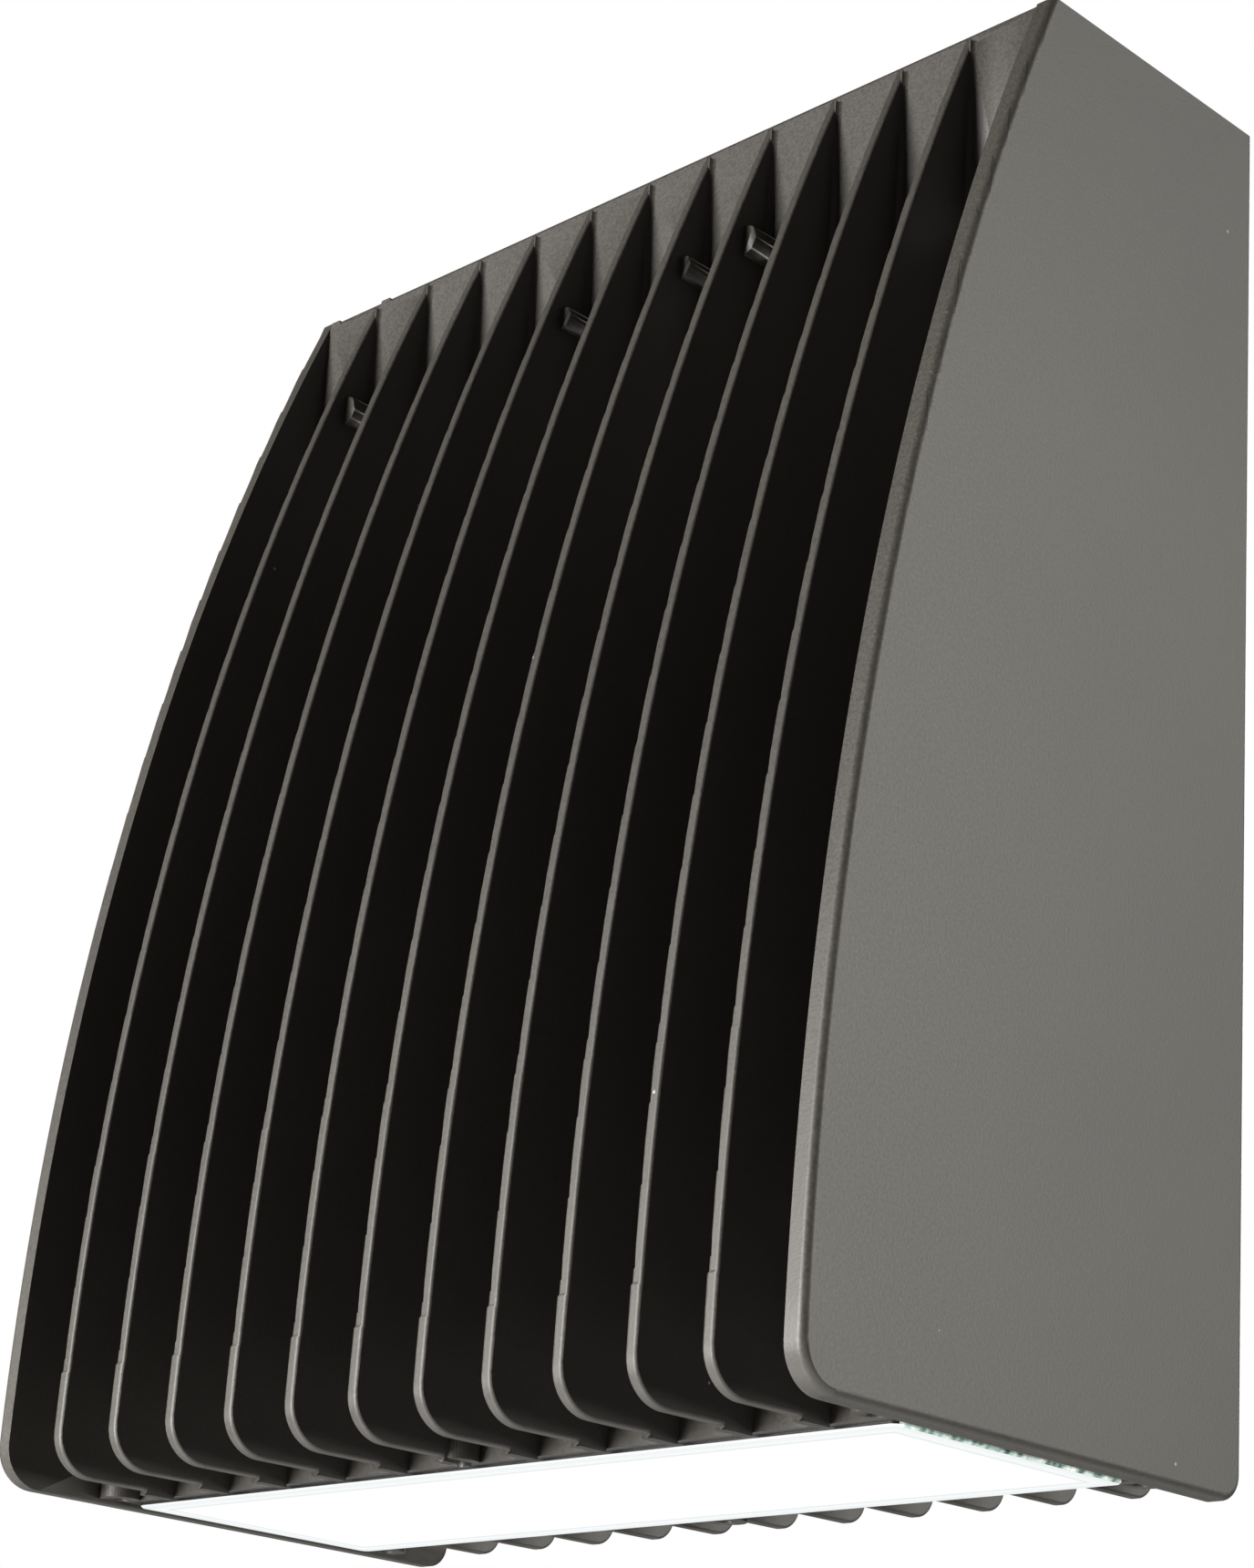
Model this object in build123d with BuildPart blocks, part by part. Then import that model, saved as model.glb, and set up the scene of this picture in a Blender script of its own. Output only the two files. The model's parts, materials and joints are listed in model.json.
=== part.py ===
from build123d import *
from math import radians, sqrt, tan
import os

os.makedirs("parts", exist_ok=True)

# Wall pack light. Millimetres, +X to the right as seen from the front, +Y towards the wall, +Z up.
# The origin is on the wall, at the middle of the wall screw pattern.
# Heights are measured up from the bottom of the side panels, depths forward from the housing's rear rim.

# Finned housing, outside
fin_pitch = 17.0
fin_count = 11
fin_thickness = 2.3
fin_edge_radius = 0.6
fin_bottom_front = 0.8
fin_bottom_rear = 1.7
panel_thickness = 4.1
panel_edge_radius = 1.5
panel_lip = 0.8
housing_height = 270.3
housing_depth = 114.8
front_arc_radius = 694.0
front_arc_centre_height = 9.0
front_corner_radius = 8.0
rear_corner_radius = 5.0
mount_height = 160.0
wall_gap = 3.0

# Finned housing, walls
bay_wall_depth = 64.0
wall = 3.0
shelf_height = 48.0
shelf_thickness = 5.0
ledge_thickness = 3.0
boss_drop = 29.3
large_boss_radius = 3.25
small_boss_radius = 2.5
boss_length = 7.0

# Lamp box and lens
lamp_front_depth = 87.0
lamp_rear_depth = 21.7
lamp_lean = 5.0
flange_bottom = 0.8
fin_foot_bottom = 0.2
fin_foot_front_depth = 93.4
lamp_floor_top = 8.0
lens_width = 197.0
lens_front_depth = 84.7
lens_rear_depth = 24.7
lens_thickness = 4.0
lens_corner_radius = 2.0
seal_width = 0.7
seal_thickness = 1.2
lens_overlap = 5.5
ear_radius = 4.0
ear_hole_radius = 1.35
ear_hole_depth = 6.0
ear_reach = 97.8
front_ear_depth = 89.3
rear_ear_depth = 19.6

# Back box
box_half_width = 89.0
box_bottom = 58.0
box_top_drop = 8.3
box_depth = 22.0
box_wall = 3.0
rim_width = 6.0
rim_thickness = 3.0
box_corner_radius = 6.0
rim_gasket_width = 5.0
rim_gasket_thickness = 3.0
wall_gasket_width = 10.0
part_gap = 0.3

# Wall fixings and entries
slot_spacing = 88.9
slot_length = 12.0
slot_radius = 2.5
corner_hole_spacing_x = 140.0
corner_hole_spacing_z = 160.0
corner_hole_radius = 3.0
wall_pad_radius = 7.0
wall_pad_margin = 3.0
entry_hole_radius = 11.0
entry_bore_radius = 8.0
entry_flange_radius = 13.5
entry_flange_thickness = 2.0
conduit_radius = 10.3
conduit_boss_radius = 14.0
conduit_boss_length = 9.0
conduit_x = 40.0
conduit_height = 92.0
plug_hex_width = 12.0
plug_length = 10.0

# Hinge, on the left
hinge_x = -98.8
hinge_depth = 6.0
lug_radius = 4.5
lug_height = 12.0
lower_lug_height = 70.0
upper_lug_drop = 32.3
pin_radius = 2.0
pin_chamfer = 0.5
running_clearance = 0.05
fit_clearance = 0.01
swing_clearance = 1.0

# Closing screws, on the right
lower_screw_height = 90.0
upper_screw_drop = 40.3
screw_radius = 2.5
screw_clearance = 0.3
screw_travel = 8.0
screw_head_radius = 4.5
screw_head_height = 5.0
screw_head_chamfer = 0.5
screw_socket_width = 4.0
screw_socket_depth = 2.8
column_radius = 7.0
head_recess = 15.0
head_clearance = 0.5
closing_lug_radius = 5.5
closing_lug_depth = 14.0
closing_hole_depth = 12.5
ring_radius = 3.6
ring_thickness = 1.0

# Lamp parts
board_left = -66.0
board_right = 78.0
board_width = 40.0
board_thickness = 1.6
pad_thickness = 0.5
led_size = 3.5
led_height = 0.7
led_rows = 2
led_columns = 9
led_row_spacing = 10.0
led_column_spacing = 14.0
board_screw_spacing_x = 100.0
board_screw_spacing_y = 34.0
board_screw_radius = 1.5
board_screw_head_radius = 2.75
board_screw_head_height = 1.8
board_screw_depth = 4.0
reflector_sheet = 0.8
reflector_top_length = 128.0
reflector_top_width = 24.0
reflector_rim = 2.0
reflector_gap = 0.3
connector_length = 7.0
connector_width = 12.0
connector_height = 4.0
connector_inset = 2.0

# Driver
driver_height = 160.0
driver_length = 120.0
driver_width = 56.0
driver_depth = 24.0
driver_sheet = 1.2
driver_base_thickness = 1.5
driver_tab = 12.0
driver_tab_width = 24.0
driver_pad_height = 3.0
driver_pad_radius = 5.0
driver_screw_radius = 2.0
driver_screw_head_radius = 3.5
driver_screw_head_height = 2.6
driver_screw_depth = 4.0
driver_board_thickness = 1.6
driver_board_gap = 3.0
driver_board_inset = 4.0
standoff_inset = 9.0
standoff_radius = 2.0
cover_edge_radius = 2.0
transformer_x = 8.0
transformer_width = 28.0
transformer_height = 26.0
transformer_depth = 14.0
transformer_edge_radius = 1.5
large_capacitor_radius = 5.0
small_capacitor_radius = 4.0
large_capacitor_gap = 15.0
small_capacitor_gap = 12.0
capacitor_spacing = 14.0
capacitor_drop = 10.0
capacitor_length = 12.0
bushing_radius = 5.5
bushing_lip = 1.0

# Leads
lead_radius = 1.0
led_lead_reach = 6.0
led_lead_spacing = 5.0
led_lead_height = 165.0
led_lead_bend = 8.0
led_lead_low_bend = 4.0
line_lead_spacing = 3.2
line_lead_bend = 4.0
line_plug_reach = 15.0
line_plug_drop = 20.0
line_plug_edge_radius = 1.5
line_plug_length = 20.0
line_plug_width = 16.0
line_plug_depth = 12.0
grommet_radius = 5.5
grommet_flange = 7.5
grommet_flange_thickness = 2.0
clip_wall = 2.0
clip_height = 10.0

# Surge protector
surge_width = 26.0
surge_height = 30.0
surge_depth = 18.0
surge_edge_radius = 2.0
surge_tab = 8.0
surge_tab_height = 10.0
surge_tab_thickness = 2.0
surge_screw_radius = 1.5
surge_screw_head_radius = 2.75
surge_screw_head_height = 2.0

# Terminal block and ground screw
block_x = -40.0
block_drop = 47.0
block_length = 40.0
block_width = 20.0
block_depth = 13.0
block_poles = 3
block_pole_spacing = 10.0
clamp_screw_radius = 2.0
clamp_screw_height = 1.5
block_screw_radius = 1.5
block_screw_head_radius = 2.75
block_screw_head_height = 1.8
block_screw_depth = 2.0
block_entry_radius = 1.8
block_ear = 6.0
block_ear_thickness = 4.0
ground_x = 45.0
ground_boss_radius = 5.0
ground_boss_length = 5.0
ground_screw_radius = 2.0
ground_head_radius = 4.5
ground_washer_thickness = 1.0
ground_hex_width = 7.0
ground_head_height = 3.5

# Cuts run past the faces that they open by this much, and edges are picked to within the tolerance
cut_margin = 1.0
tolerance = 0.01

# Worked out from the above
inside_half_width = ((fin_count + 1) * fin_pitch - fin_thickness) / 2
outer_half_width = inside_half_width + panel_thickness
last_fin_x = (fin_count - 1) / 2 * fin_pitch
closing_x = (last_fin_x + fin_thickness / 2 + inside_half_width) / 2
boss_height = housing_height - boss_drop
box_top = housing_height - box_top_drop
block_height = box_top - block_drop
lug_heights = (lower_lug_height, housing_height - upper_lug_drop)
closing_heights = (lower_screw_height, housing_height - upper_screw_drop)
led_lead_x = board_right + led_lead_reach
line_plug_x = -(driver_length / 2 + line_plug_reach)
line_plug_top = driver_height - driver_width / 2 - line_plug_drop


def y_at(depth):
    """Y of a depth that is measured forward from the rear rim."""
    return -(wall_gap + depth)


def z_at(height):
    """Z of a height that is measured up from the bottom of the side panels."""
    return height - mount_height


def arc_depth(height):
    """Depth of the curved front at a height."""
    rise = height - front_arc_centre_height
    return housing_depth - front_arc_radius + sqrt(front_arc_radius**2 - rise**2)


def span_box(x_low, x_high, y_low, y_high, z_low, z_high, mode=Mode.ADD):
    """A box between two corners, in the part that is being built."""
    with Locations(((x_low + x_high) / 2, (y_low + y_high) / 2, (z_low + z_high) / 2)):
        Box(abs(x_high - x_low), abs(y_high - y_low), abs(z_high - z_low), mode=mode)


def rod_y(x, z, y_front, y_rear, radius, mode=Mode.ADD):
    """A round rod along Y between two planes."""
    with Locations((x, (y_front + y_rear) / 2, z)):
        Cylinder(radius, y_rear - y_front, rotation=(90, 0, 0), mode=mode)


def rod_z(x, y, z_low, z_high, radius, mode=Mode.ADD):
    """A round rod along Z between two planes."""
    with Locations((x, y, (z_low + z_high) / 2)):
        Cylinder(radius, z_high - z_low, mode=mode)


def save(solid, name):
    """Label a finished piece and write it."""
    solid.label = name
    export_step(solid, f"parts/{name}.step")


front_wall_y = y_at(bay_wall_depth)
bay_front_y = front_wall_y + wall
rear_y = y_at(0)
rim_front_y = y_at(box_depth)
ledge_rear_y = rim_front_y - rim_gasket_thickness - part_gap
ledge_front_y = ledge_rear_y - ledge_thickness
ledge_half_width = box_half_width - rim_width
ledge_low = box_bottom + rim_width
ledge_high = box_top - rim_width
hinge_y = y_at(hinge_depth)
shelf_top = shelf_height + shelf_thickness
lamp_front_y = y_at(lamp_front_depth)
lamp_rear_y = y_at(lamp_rear_depth)
lens_front_y = y_at(lens_front_depth)
lens_rear_y = y_at(lens_rear_depth)
pocket_half_width = lens_width / 2 + seal_width
pocket_front_y = lens_front_y - seal_width
pocket_rear_y = lens_rear_y + seal_width
pocket_top = lens_thickness + seal_thickness
aperture_half_width = lens_width / 2 - lens_overlap
aperture_front_y = lens_front_y + lens_overlap
aperture_rear_y = lens_rear_y - lens_overlap
lamp_y = (aperture_front_y + aperture_rear_y) / 2
lead_y = lamp_y + connector_width / 2
closing_lug_front_y = rear_y - closing_lug_depth
head_seat_y = front_wall_y + head_recess
ear_places = [
    (x, y_at(depth))
    for depth in (front_ear_depth, rear_ear_depth)
    for x in (-ear_reach, 0, ear_reach)
]
# Each boss: the fin that it stands by, counted from the middle one, and its radius
cored_bosses = (
    (-5, large_boss_radius),
    (-1, small_boss_radius),
    (1, small_boss_radius),
    (2, large_boss_radius),
)


# ---------------------------------------------------------------- finned housing
def blade_outline(plane, bottom_front, bottom_rear, top):
    """Side outline of a blade: curved front, straight back and rounded bottom corners."""
    middle = (bottom_front + top) / 2
    front_low = (y_at(arc_depth(bottom_front)), z_at(bottom_front))
    front_middle = (y_at(arc_depth(middle)), z_at(middle))
    front_top = (y_at(arc_depth(top)), z_at(top))
    rear_top = (rear_y, z_at(top))
    rear_low = (rear_y, z_at(bottom_rear))
    with BuildSketch(plane) as outline:
        with BuildLine():
            ThreePointArc(front_low, front_middle, front_top)
            Polyline(front_top, rear_top, rear_low, front_low)
        make_face()
        fillet(outline.vertices().group_by(Axis.X)[0], front_corner_radius)
        fillet(outline.vertices().group_by(Axis.X)[-1].sort_by(Axis.Y)[0], rear_corner_radius)
    return outline.sketch


with BuildPart() as fin_blank:
    extrude(blade_outline(Plane.YZ, fin_bottom_front, fin_bottom_rear, housing_height),
            amount=fin_thickness / 2, both=True)
    rim = edges().filter_by(lambda e: abs(e.center().X) > fin_thickness / 4)
    rim = rim.filter_by(lambda e: e.center().Y < rear_y - tolerance)
    rim = rim.filter_by(lambda e: e.center().Z < z_at(housing_height) - tolerance)
    fillet(rim, fin_edge_radius)

with BuildPart() as panel_blank:
    extrude(blade_outline(Plane.YZ.offset(inside_half_width), 0, 0, housing_height + panel_lip),
            amount=panel_thickness)
    rim = edges().filter_by(lambda e: e.center().X > outer_half_width - tolerance)
    rim = rim.filter_by(lambda e: e.center().Y < rear_y - tolerance)
    rim = rim.filter_by(lambda e: e.center().Z < z_at(housing_height))
    fillet(rim, panel_edge_radius)

# A foot reaches from under the fin's front into the flange's front wall
with BuildPart() as fin_foot:
    foot_front_y = y_at(fin_foot_front_depth)
    foot_root_y = lamp_front_y + wall
    foot_top = flange_bottom + wall
    with BuildSketch(Plane.YZ.offset(-fin_thickness / 2)):
        with BuildLine():
            Polyline(
                (foot_front_y, z_at(fin_foot_bottom)),
                (lamp_front_y, z_at(fin_foot_bottom)),
                (lamp_front_y, z_at(flange_bottom)),
                (foot_root_y, z_at(flange_bottom)),
                (foot_root_y, z_at(foot_top)),
                (foot_front_y, z_at(foot_top)),
                close=True,
            )
        make_face()
    extrude(amount=fin_thickness)

with BuildPart() as finned_housing:
    # Driver bay: a block behind the curved front, with the shelf as its floor
    span_box(-inside_half_width, inside_half_width, front_wall_y, rear_y,
             z_at(shelf_height), z_at(housing_height))
    # Lamp box below it, with a front wall that leans back
    lean_back = (shelf_top - flange_bottom) * tan(radians(lamp_lean))
    with BuildSketch(Plane.YZ.offset(-inside_half_width)):
        with BuildLine():
            Polyline(
                (lamp_front_y, z_at(flange_bottom)),
                (lamp_rear_y, z_at(flange_bottom)),
                (lamp_rear_y, z_at(shelf_top)),
                (lamp_front_y + lean_back, z_at(shelf_top)),
                close=True,
            )
        make_face()
    extrude(amount=2 * inside_half_width)
    # Blades
    with GridLocations(fin_pitch, 1, fin_count, 1):
        add(fin_blank.part)
    add(panel_blank.part)
    add(mirror(panel_blank.part, about=Plane.YZ, mode=Mode.PRIVATE))
    # Feet under the fins, where they meet the flange
    with GridLocations(fin_pitch, 1, fin_count, 1):
        add(fin_foot.part)
    # Cored bosses that back the screws inside, half sunk in the fins beside them
    for fin_index, radius in cored_bosses:
        boss_x = fin_index * fin_pitch + fin_thickness / 2
        rod_y(boss_x, z_at(boss_height), front_wall_y - boss_length, front_wall_y + wall / 2, radius)
    # Screw ears on the flange round the lens
    for ear_x, ear_y in ear_places:
        rod_z(ear_x, ear_y, z_at(flange_bottom), z_at(lamp_floor_top), ear_radius)
    # Hollow driver bay
    span_box(-inside_half_width, inside_half_width, bay_front_y, rear_y,
             z_at(shelf_top), z_at(housing_height - wall), mode=Mode.SUBTRACT)
    # Hollow lamp box
    cavity_lean = (shelf_height - lamp_floor_top) * tan(radians(lamp_lean))
    cavity_front_y = lamp_front_y + wall + (lamp_floor_top - flange_bottom) * tan(radians(lamp_lean))
    with BuildSketch(Plane.YZ.offset(-inside_half_width)):
        with BuildLine():
            Polyline(
                (cavity_front_y, z_at(lamp_floor_top)),
                (lamp_rear_y - wall, z_at(lamp_floor_top)),
                (lamp_rear_y - wall, z_at(shelf_height)),
                (cavity_front_y + cavity_lean, z_at(shelf_height)),
                close=True,
            )
        make_face()
    extrude(amount=2 * inside_half_width, mode=Mode.SUBTRACT)
    # Pocket for the lens and its seal, and the aperture above it
    span_box(-pocket_half_width, pocket_half_width, pocket_front_y, pocket_rear_y,
             z_at(-cut_margin), z_at(pocket_top), mode=Mode.SUBTRACT)
    span_box(-aperture_half_width, aperture_half_width, aperture_front_y, aperture_rear_y,
             z_at(0), z_at(lamp_floor_top), mode=Mode.SUBTRACT)
    for ear_x, ear_y in ear_places:
        rod_z(ear_x, ear_y, z_at(0), z_at(flange_bottom + ear_hole_depth), ear_hole_radius,
              mode=Mode.SUBTRACT)
    # Ledge that meets the back box's gasket
    with BuildSketch(Plane.XZ.offset(-ledge_rear_y)):
        with Locations((0, z_at((shelf_top + housing_height - wall) / 2))):
            Rectangle(2 * inside_half_width, housing_height - wall - shelf_top)
        with Locations((0, z_at((ledge_low + ledge_high) / 2))):
            RectangleRounded(2 * ledge_half_width, ledge_high - ledge_low, box_corner_radius,
                             mode=Mode.SUBTRACT)
    extrude(amount=ledge_thickness)
    # Columns that the closing screws run through, with a recess in front for each head
    for height in closing_heights:
        rod_y(closing_x, z_at(height), bay_front_y - wall / 2, ledge_rear_y, column_radius)
        rod_y(closing_x, z_at(height), front_wall_y, ledge_rear_y, screw_radius + screw_clearance,
              mode=Mode.SUBTRACT)
        rod_y(closing_x, z_at(height), front_wall_y, head_seat_y, screw_head_radius + head_clearance,
              mode=Mode.SUBTRACT)
    # Hinge: the side panel is cut away round the back box's lugs, and its own lugs stand above them
    for height in lug_heights:
        span_box(-outer_half_width - cut_margin, -inside_half_width,
                 hinge_y - lug_radius - swing_clearance, rear_y,
                 z_at(height - part_gap), z_at(height + lug_height + part_gap), mode=Mode.SUBTRACT)
        own_low = height + lug_height + part_gap
        rod_z(hinge_x, hinge_y, z_at(own_low), z_at(own_low + lug_height), lug_radius)
        rod_z(hinge_x, hinge_y, z_at(own_low), z_at(own_low + lug_height),
              pin_radius + running_clearance, mode=Mode.SUBTRACT)
    # Pads for the driver
    for side in (-1, 1):
        pad_x = side * (driver_length + driver_tab) / 2
        rod_y(pad_x, z_at(driver_height), bay_front_y - wall / 2, bay_front_y + driver_pad_height,
              driver_pad_radius)
        rod_y(pad_x, z_at(driver_height), bay_front_y + driver_pad_height - driver_screw_depth,
              bay_front_y + driver_pad_height, driver_screw_radius + fit_clearance, mode=Mode.SUBTRACT)
    # Screw holes for the surge protector run into the cored bosses
    for side in (-1, 1):
        rod_y(side * fin_pitch + fin_thickness / 2, z_at(boss_height), front_wall_y, bay_front_y,
              surge_screw_radius + fit_clearance, mode=Mode.SUBTRACT)
    # Screw holes for the LED board
    with BuildSketch(Plane.XY.offset(z_at(shelf_height))):
        with Locations((0, lamp_y)):
            with GridLocations(board_screw_spacing_x, board_screw_spacing_y, 2, 2):
                Circle(board_screw_radius + fit_clearance)
    extrude(amount=board_screw_depth, mode=Mode.SUBTRACT)
    # Hole for the lead grommet
    rod_z(led_lead_x, lead_y, z_at(shelf_height), z_at(shelf_top), grommet_radius, mode=Mode.SUBTRACT)

save(finned_housing.part, "finned_housing")

# ---------------------------------------------------------------- lens and its seal
with BuildPart() as glass_lens:
    with BuildSketch(Plane.XY.offset(z_at(0))):
        with Locations((0, (lens_front_y + lens_rear_y) / 2)):
            RectangleRounded(lens_width, lens_rear_y - lens_front_y, lens_corner_radius)
    extrude(amount=lens_thickness)
save(glass_lens.part, "glass_lens")

with BuildPart() as lens_seal:
    span_box(-pocket_half_width, pocket_half_width, pocket_front_y, pocket_rear_y,
             z_at(flange_bottom), z_at(pocket_top))
    span_box(-aperture_half_width, aperture_half_width, aperture_front_y, aperture_rear_y,
             z_at(0), z_at(pocket_top), mode=Mode.SUBTRACT)
    add(glass_lens.part, mode=Mode.SUBTRACT)
save(lens_seal.part, "lens_seal")

# ---------------------------------------------------------------- lamp parts
pad_low = shelf_height - pad_thickness
board_low = pad_low - board_thickness
board_middle_x = (board_left + board_right) / 2


def board_plate(low, thickness):
    """A plate of the LED board's outline with its four screw holes."""
    with BuildSketch(Plane.XY.offset(z_at(low))) as outline:
        with Locations((board_middle_x, lamp_y)):
            Rectangle(board_right - board_left, board_width)
        with Locations((0, lamp_y)):
            with GridLocations(board_screw_spacing_x, board_screw_spacing_y, 2, 2):
                Circle(board_screw_radius + part_gap / 2, mode=Mode.SUBTRACT)
    extrude(outline.sketch, amount=thickness)


with BuildPart() as thermal_pad:
    board_plate(pad_low, pad_thickness)
save(thermal_pad.part, "thermal_pad")

with BuildPart() as led_board:
    board_plate(board_low, board_thickness)
save(led_board.part, "led_board")

with BuildPart() as led_packages:
    with BuildSketch(Plane.XY.offset(z_at(board_low - led_height))):
        with Locations((0, lamp_y)):
            with GridLocations(led_column_spacing, led_row_spacing, led_columns, led_rows):
                Rectangle(led_size, led_size)
    extrude(amount=led_height)
save(led_packages.part, "led_packages")

with BuildPart() as led_board_screws:
    for x in (-board_screw_spacing_x / 2, board_screw_spacing_x / 2):
        for y in (lamp_y - board_screw_spacing_y / 2, lamp_y + board_screw_spacing_y / 2):
            rod_z(x, y, z_at(board_low - board_screw_head_height), z_at(board_low), board_screw_head_radius)
            rod_z(x, y, z_at(board_low), z_at(shelf_height + board_screw_depth - part_gap),
                  board_screw_radius)
save(led_board_screws.part, "led_board_screws")

with BuildPart() as led_connector:
    connector_right = board_right - connector_inset
    span_box(connector_right - connector_length, connector_right,
             lead_y - connector_width / 2, lead_y + connector_width / 2,
             z_at(board_low - connector_height), z_at(board_low))
save(led_connector.part, "led_connector")


def reflector_loft(grow, mode=Mode.ADD):
    """The reflector's slanted sides, as a solid that is grown outwards by a wall."""
    with BuildSketch(Plane.XY.offset(z_at(lamp_floor_top))) as low:
        with Locations((0, lamp_y)):
            Rectangle(2 * (aperture_half_width - reflector_sheet + grow) - 2 * part_gap,
                      aperture_rear_y - aperture_front_y - 2 * (reflector_sheet - grow) - 2 * part_gap)
    with BuildSketch(Plane.XY.offset(z_at(board_low - reflector_gap))) as high:
        with Locations((0, lamp_y)):
            Rectangle(reflector_top_length + 2 * grow, reflector_top_width + 2 * grow)
    loft([low.sketch, high.sketch], mode=mode)


with BuildPart() as reflector:
    reflector_loft(reflector_sheet)
    span_box(-aperture_half_width - reflector_rim, aperture_half_width + reflector_rim,
             aperture_front_y - reflector_rim, aperture_rear_y + reflector_rim,
             z_at(lamp_floor_top), z_at(lamp_floor_top + reflector_sheet))
    reflector_loft(0, mode=Mode.SUBTRACT)
save(reflector.part, "reflector")

# ---------------------------------------------------------------- driver
driver_front_y = bay_front_y + driver_pad_height
driver_low = driver_height - driver_width / 2
driver_high = driver_height + driver_width / 2
cover_front_y = driver_front_y + driver_base_thickness
cover_rear_y = driver_front_y + driver_depth
board_face_y = cover_front_y + driver_board_gap
tab_x = (driver_length + driver_tab) / 2

with BuildPart() as driver_base:
    span_box(-driver_length / 2, driver_length / 2, driver_front_y, cover_front_y,
             z_at(driver_low), z_at(driver_high))
    span_box(-driver_length / 2 - driver_tab, driver_length / 2 + driver_tab, driver_front_y, cover_front_y,
             z_at(driver_height - driver_tab_width / 2), z_at(driver_height + driver_tab_width / 2))
    for side in (-1, 1):
        rod_y(side * tab_x, z_at(driver_height), driver_front_y, cover_front_y,
              driver_screw_radius + part_gap, mode=Mode.SUBTRACT)
save(driver_base.part, "driver_base")

with BuildPart() as driver_cover:
    span_box(-driver_length / 2, driver_length / 2, cover_front_y, cover_rear_y,
             z_at(driver_low), z_at(driver_high))
    fillet(edges().filter_by(lambda e: e.center().Y > cover_rear_y - tolerance), cover_edge_radius)
    span_box(-driver_length / 2 + driver_sheet, driver_length / 2 - driver_sheet, cover_front_y,
             cover_rear_y - driver_sheet, z_at(driver_low + driver_sheet), z_at(driver_high - driver_sheet),
             mode=Mode.SUBTRACT)
    with BuildSketch(Plane.YZ):
        with Locations((lead_y, z_at(led_lead_height))):
            Circle(bushing_radius)
    extrude(amount=driver_length / 2, mode=Mode.SUBTRACT)
    with BuildSketch(Plane.YZ):
        with Locations((lead_y, z_at(driver_height))):
            Circle(bushing_radius)
    extrude(amount=-driver_length / 2, mode=Mode.SUBTRACT)
save(driver_cover.part, "driver_cover")

with BuildPart() as driver_standoffs:
    for x in (-driver_length / 2 + standoff_inset, driver_length / 2 - standoff_inset):
        for height in (driver_low + standoff_inset, driver_high - standoff_inset):
            rod_y(x, z_at(height), cover_front_y, board_face_y, standoff_radius)
save(driver_standoffs.part, "driver_standoffs")

board_rear_y = board_face_y + driver_board_thickness
with BuildPart() as driver_board:
    span_box(-driver_length / 2 + driver_board_inset, driver_length / 2 - driver_board_inset, board_face_y,
             board_rear_y, z_at(driver_low + driver_board_inset), z_at(driver_high - driver_board_inset))
save(driver_board.part, "driver_board")

with BuildPart() as driver_transformer:
    with Locations((transformer_x, board_rear_y + transformer_depth / 2, z_at(driver_height))):
        Box(transformer_width, transformer_depth, transformer_height)
    fillet(edges().filter_by(Axis.Y), transformer_edge_radius)
save(driver_transformer.part, "driver_transformer")

large_capacitor_x = transformer_x - transformer_width / 2 - large_capacitor_gap - large_capacitor_radius
small_capacitor_x = transformer_x + transformer_width / 2 + small_capacitor_gap + small_capacitor_radius
capacitor_places = (
    (large_capacitor_x, large_capacitor_radius),
    (large_capacitor_x - capacitor_spacing, large_capacitor_radius),
    (small_capacitor_x, small_capacitor_radius),
)
with BuildPart() as driver_capacitors:
    for x, radius in capacitor_places:
        rod_y(x, z_at(driver_height - capacitor_drop), board_rear_y, board_rear_y + capacitor_length,
              radius)
save(driver_capacitors.part, "driver_capacitors")

with BuildPart() as driver_screws:
    for side in (-1, 1):
        rod_y(side * tab_x, z_at(driver_height), cover_front_y, cover_front_y + driver_screw_head_height,
              driver_screw_head_radius)
        rod_y(side * tab_x, z_at(driver_height), driver_front_y - driver_screw_depth + part_gap,
              cover_front_y, driver_screw_radius)
save(driver_screws.part, "driver_screws")

# ---------------------------------------------------------------- leads and their bushings
led_lead_ys = (lead_y - led_lead_spacing / 2, lead_y + led_lead_spacing / 2)
line_lead_heights = [driver_height + step * line_lead_spacing for step in (-1, 0, 1)]
bushing_inner_x = driver_length / 2 - driver_sheet - bushing_lip
bushing_outer_x = driver_length / 2 + bushing_lip
lead_hole_radius = lead_radius + fit_clearance

with BuildPart() as led_lead_bushing:
    with Locations(((bushing_inner_x + bushing_outer_x) / 2, lead_y, z_at(led_lead_height))):
        Cylinder(bushing_radius, bushing_outer_x - bushing_inner_x, rotation=(0, 90, 0))
        with Locations((0, -led_lead_spacing / 2, 0), (0, led_lead_spacing / 2, 0)):
            Cylinder(lead_hole_radius, bushing_outer_x, rotation=(0, 90, 0), mode=Mode.SUBTRACT)
save(led_lead_bushing.part, "led_lead_bushing")

with BuildPart() as line_lead_bushing:
    with Locations((-(bushing_inner_x + bushing_outer_x) / 2, lead_y, z_at(driver_height))):
        Cylinder(bushing_radius, bushing_outer_x - bushing_inner_x, rotation=(0, 90, 0))
        with Locations((0, 0, -line_lead_spacing), (0, 0, 0), (0, 0, line_lead_spacing)):
            Cylinder(lead_hole_radius, bushing_outer_x, rotation=(0, 90, 0), mode=Mode.SUBTRACT)
save(line_lead_bushing.part, "line_lead_bushing")

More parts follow.
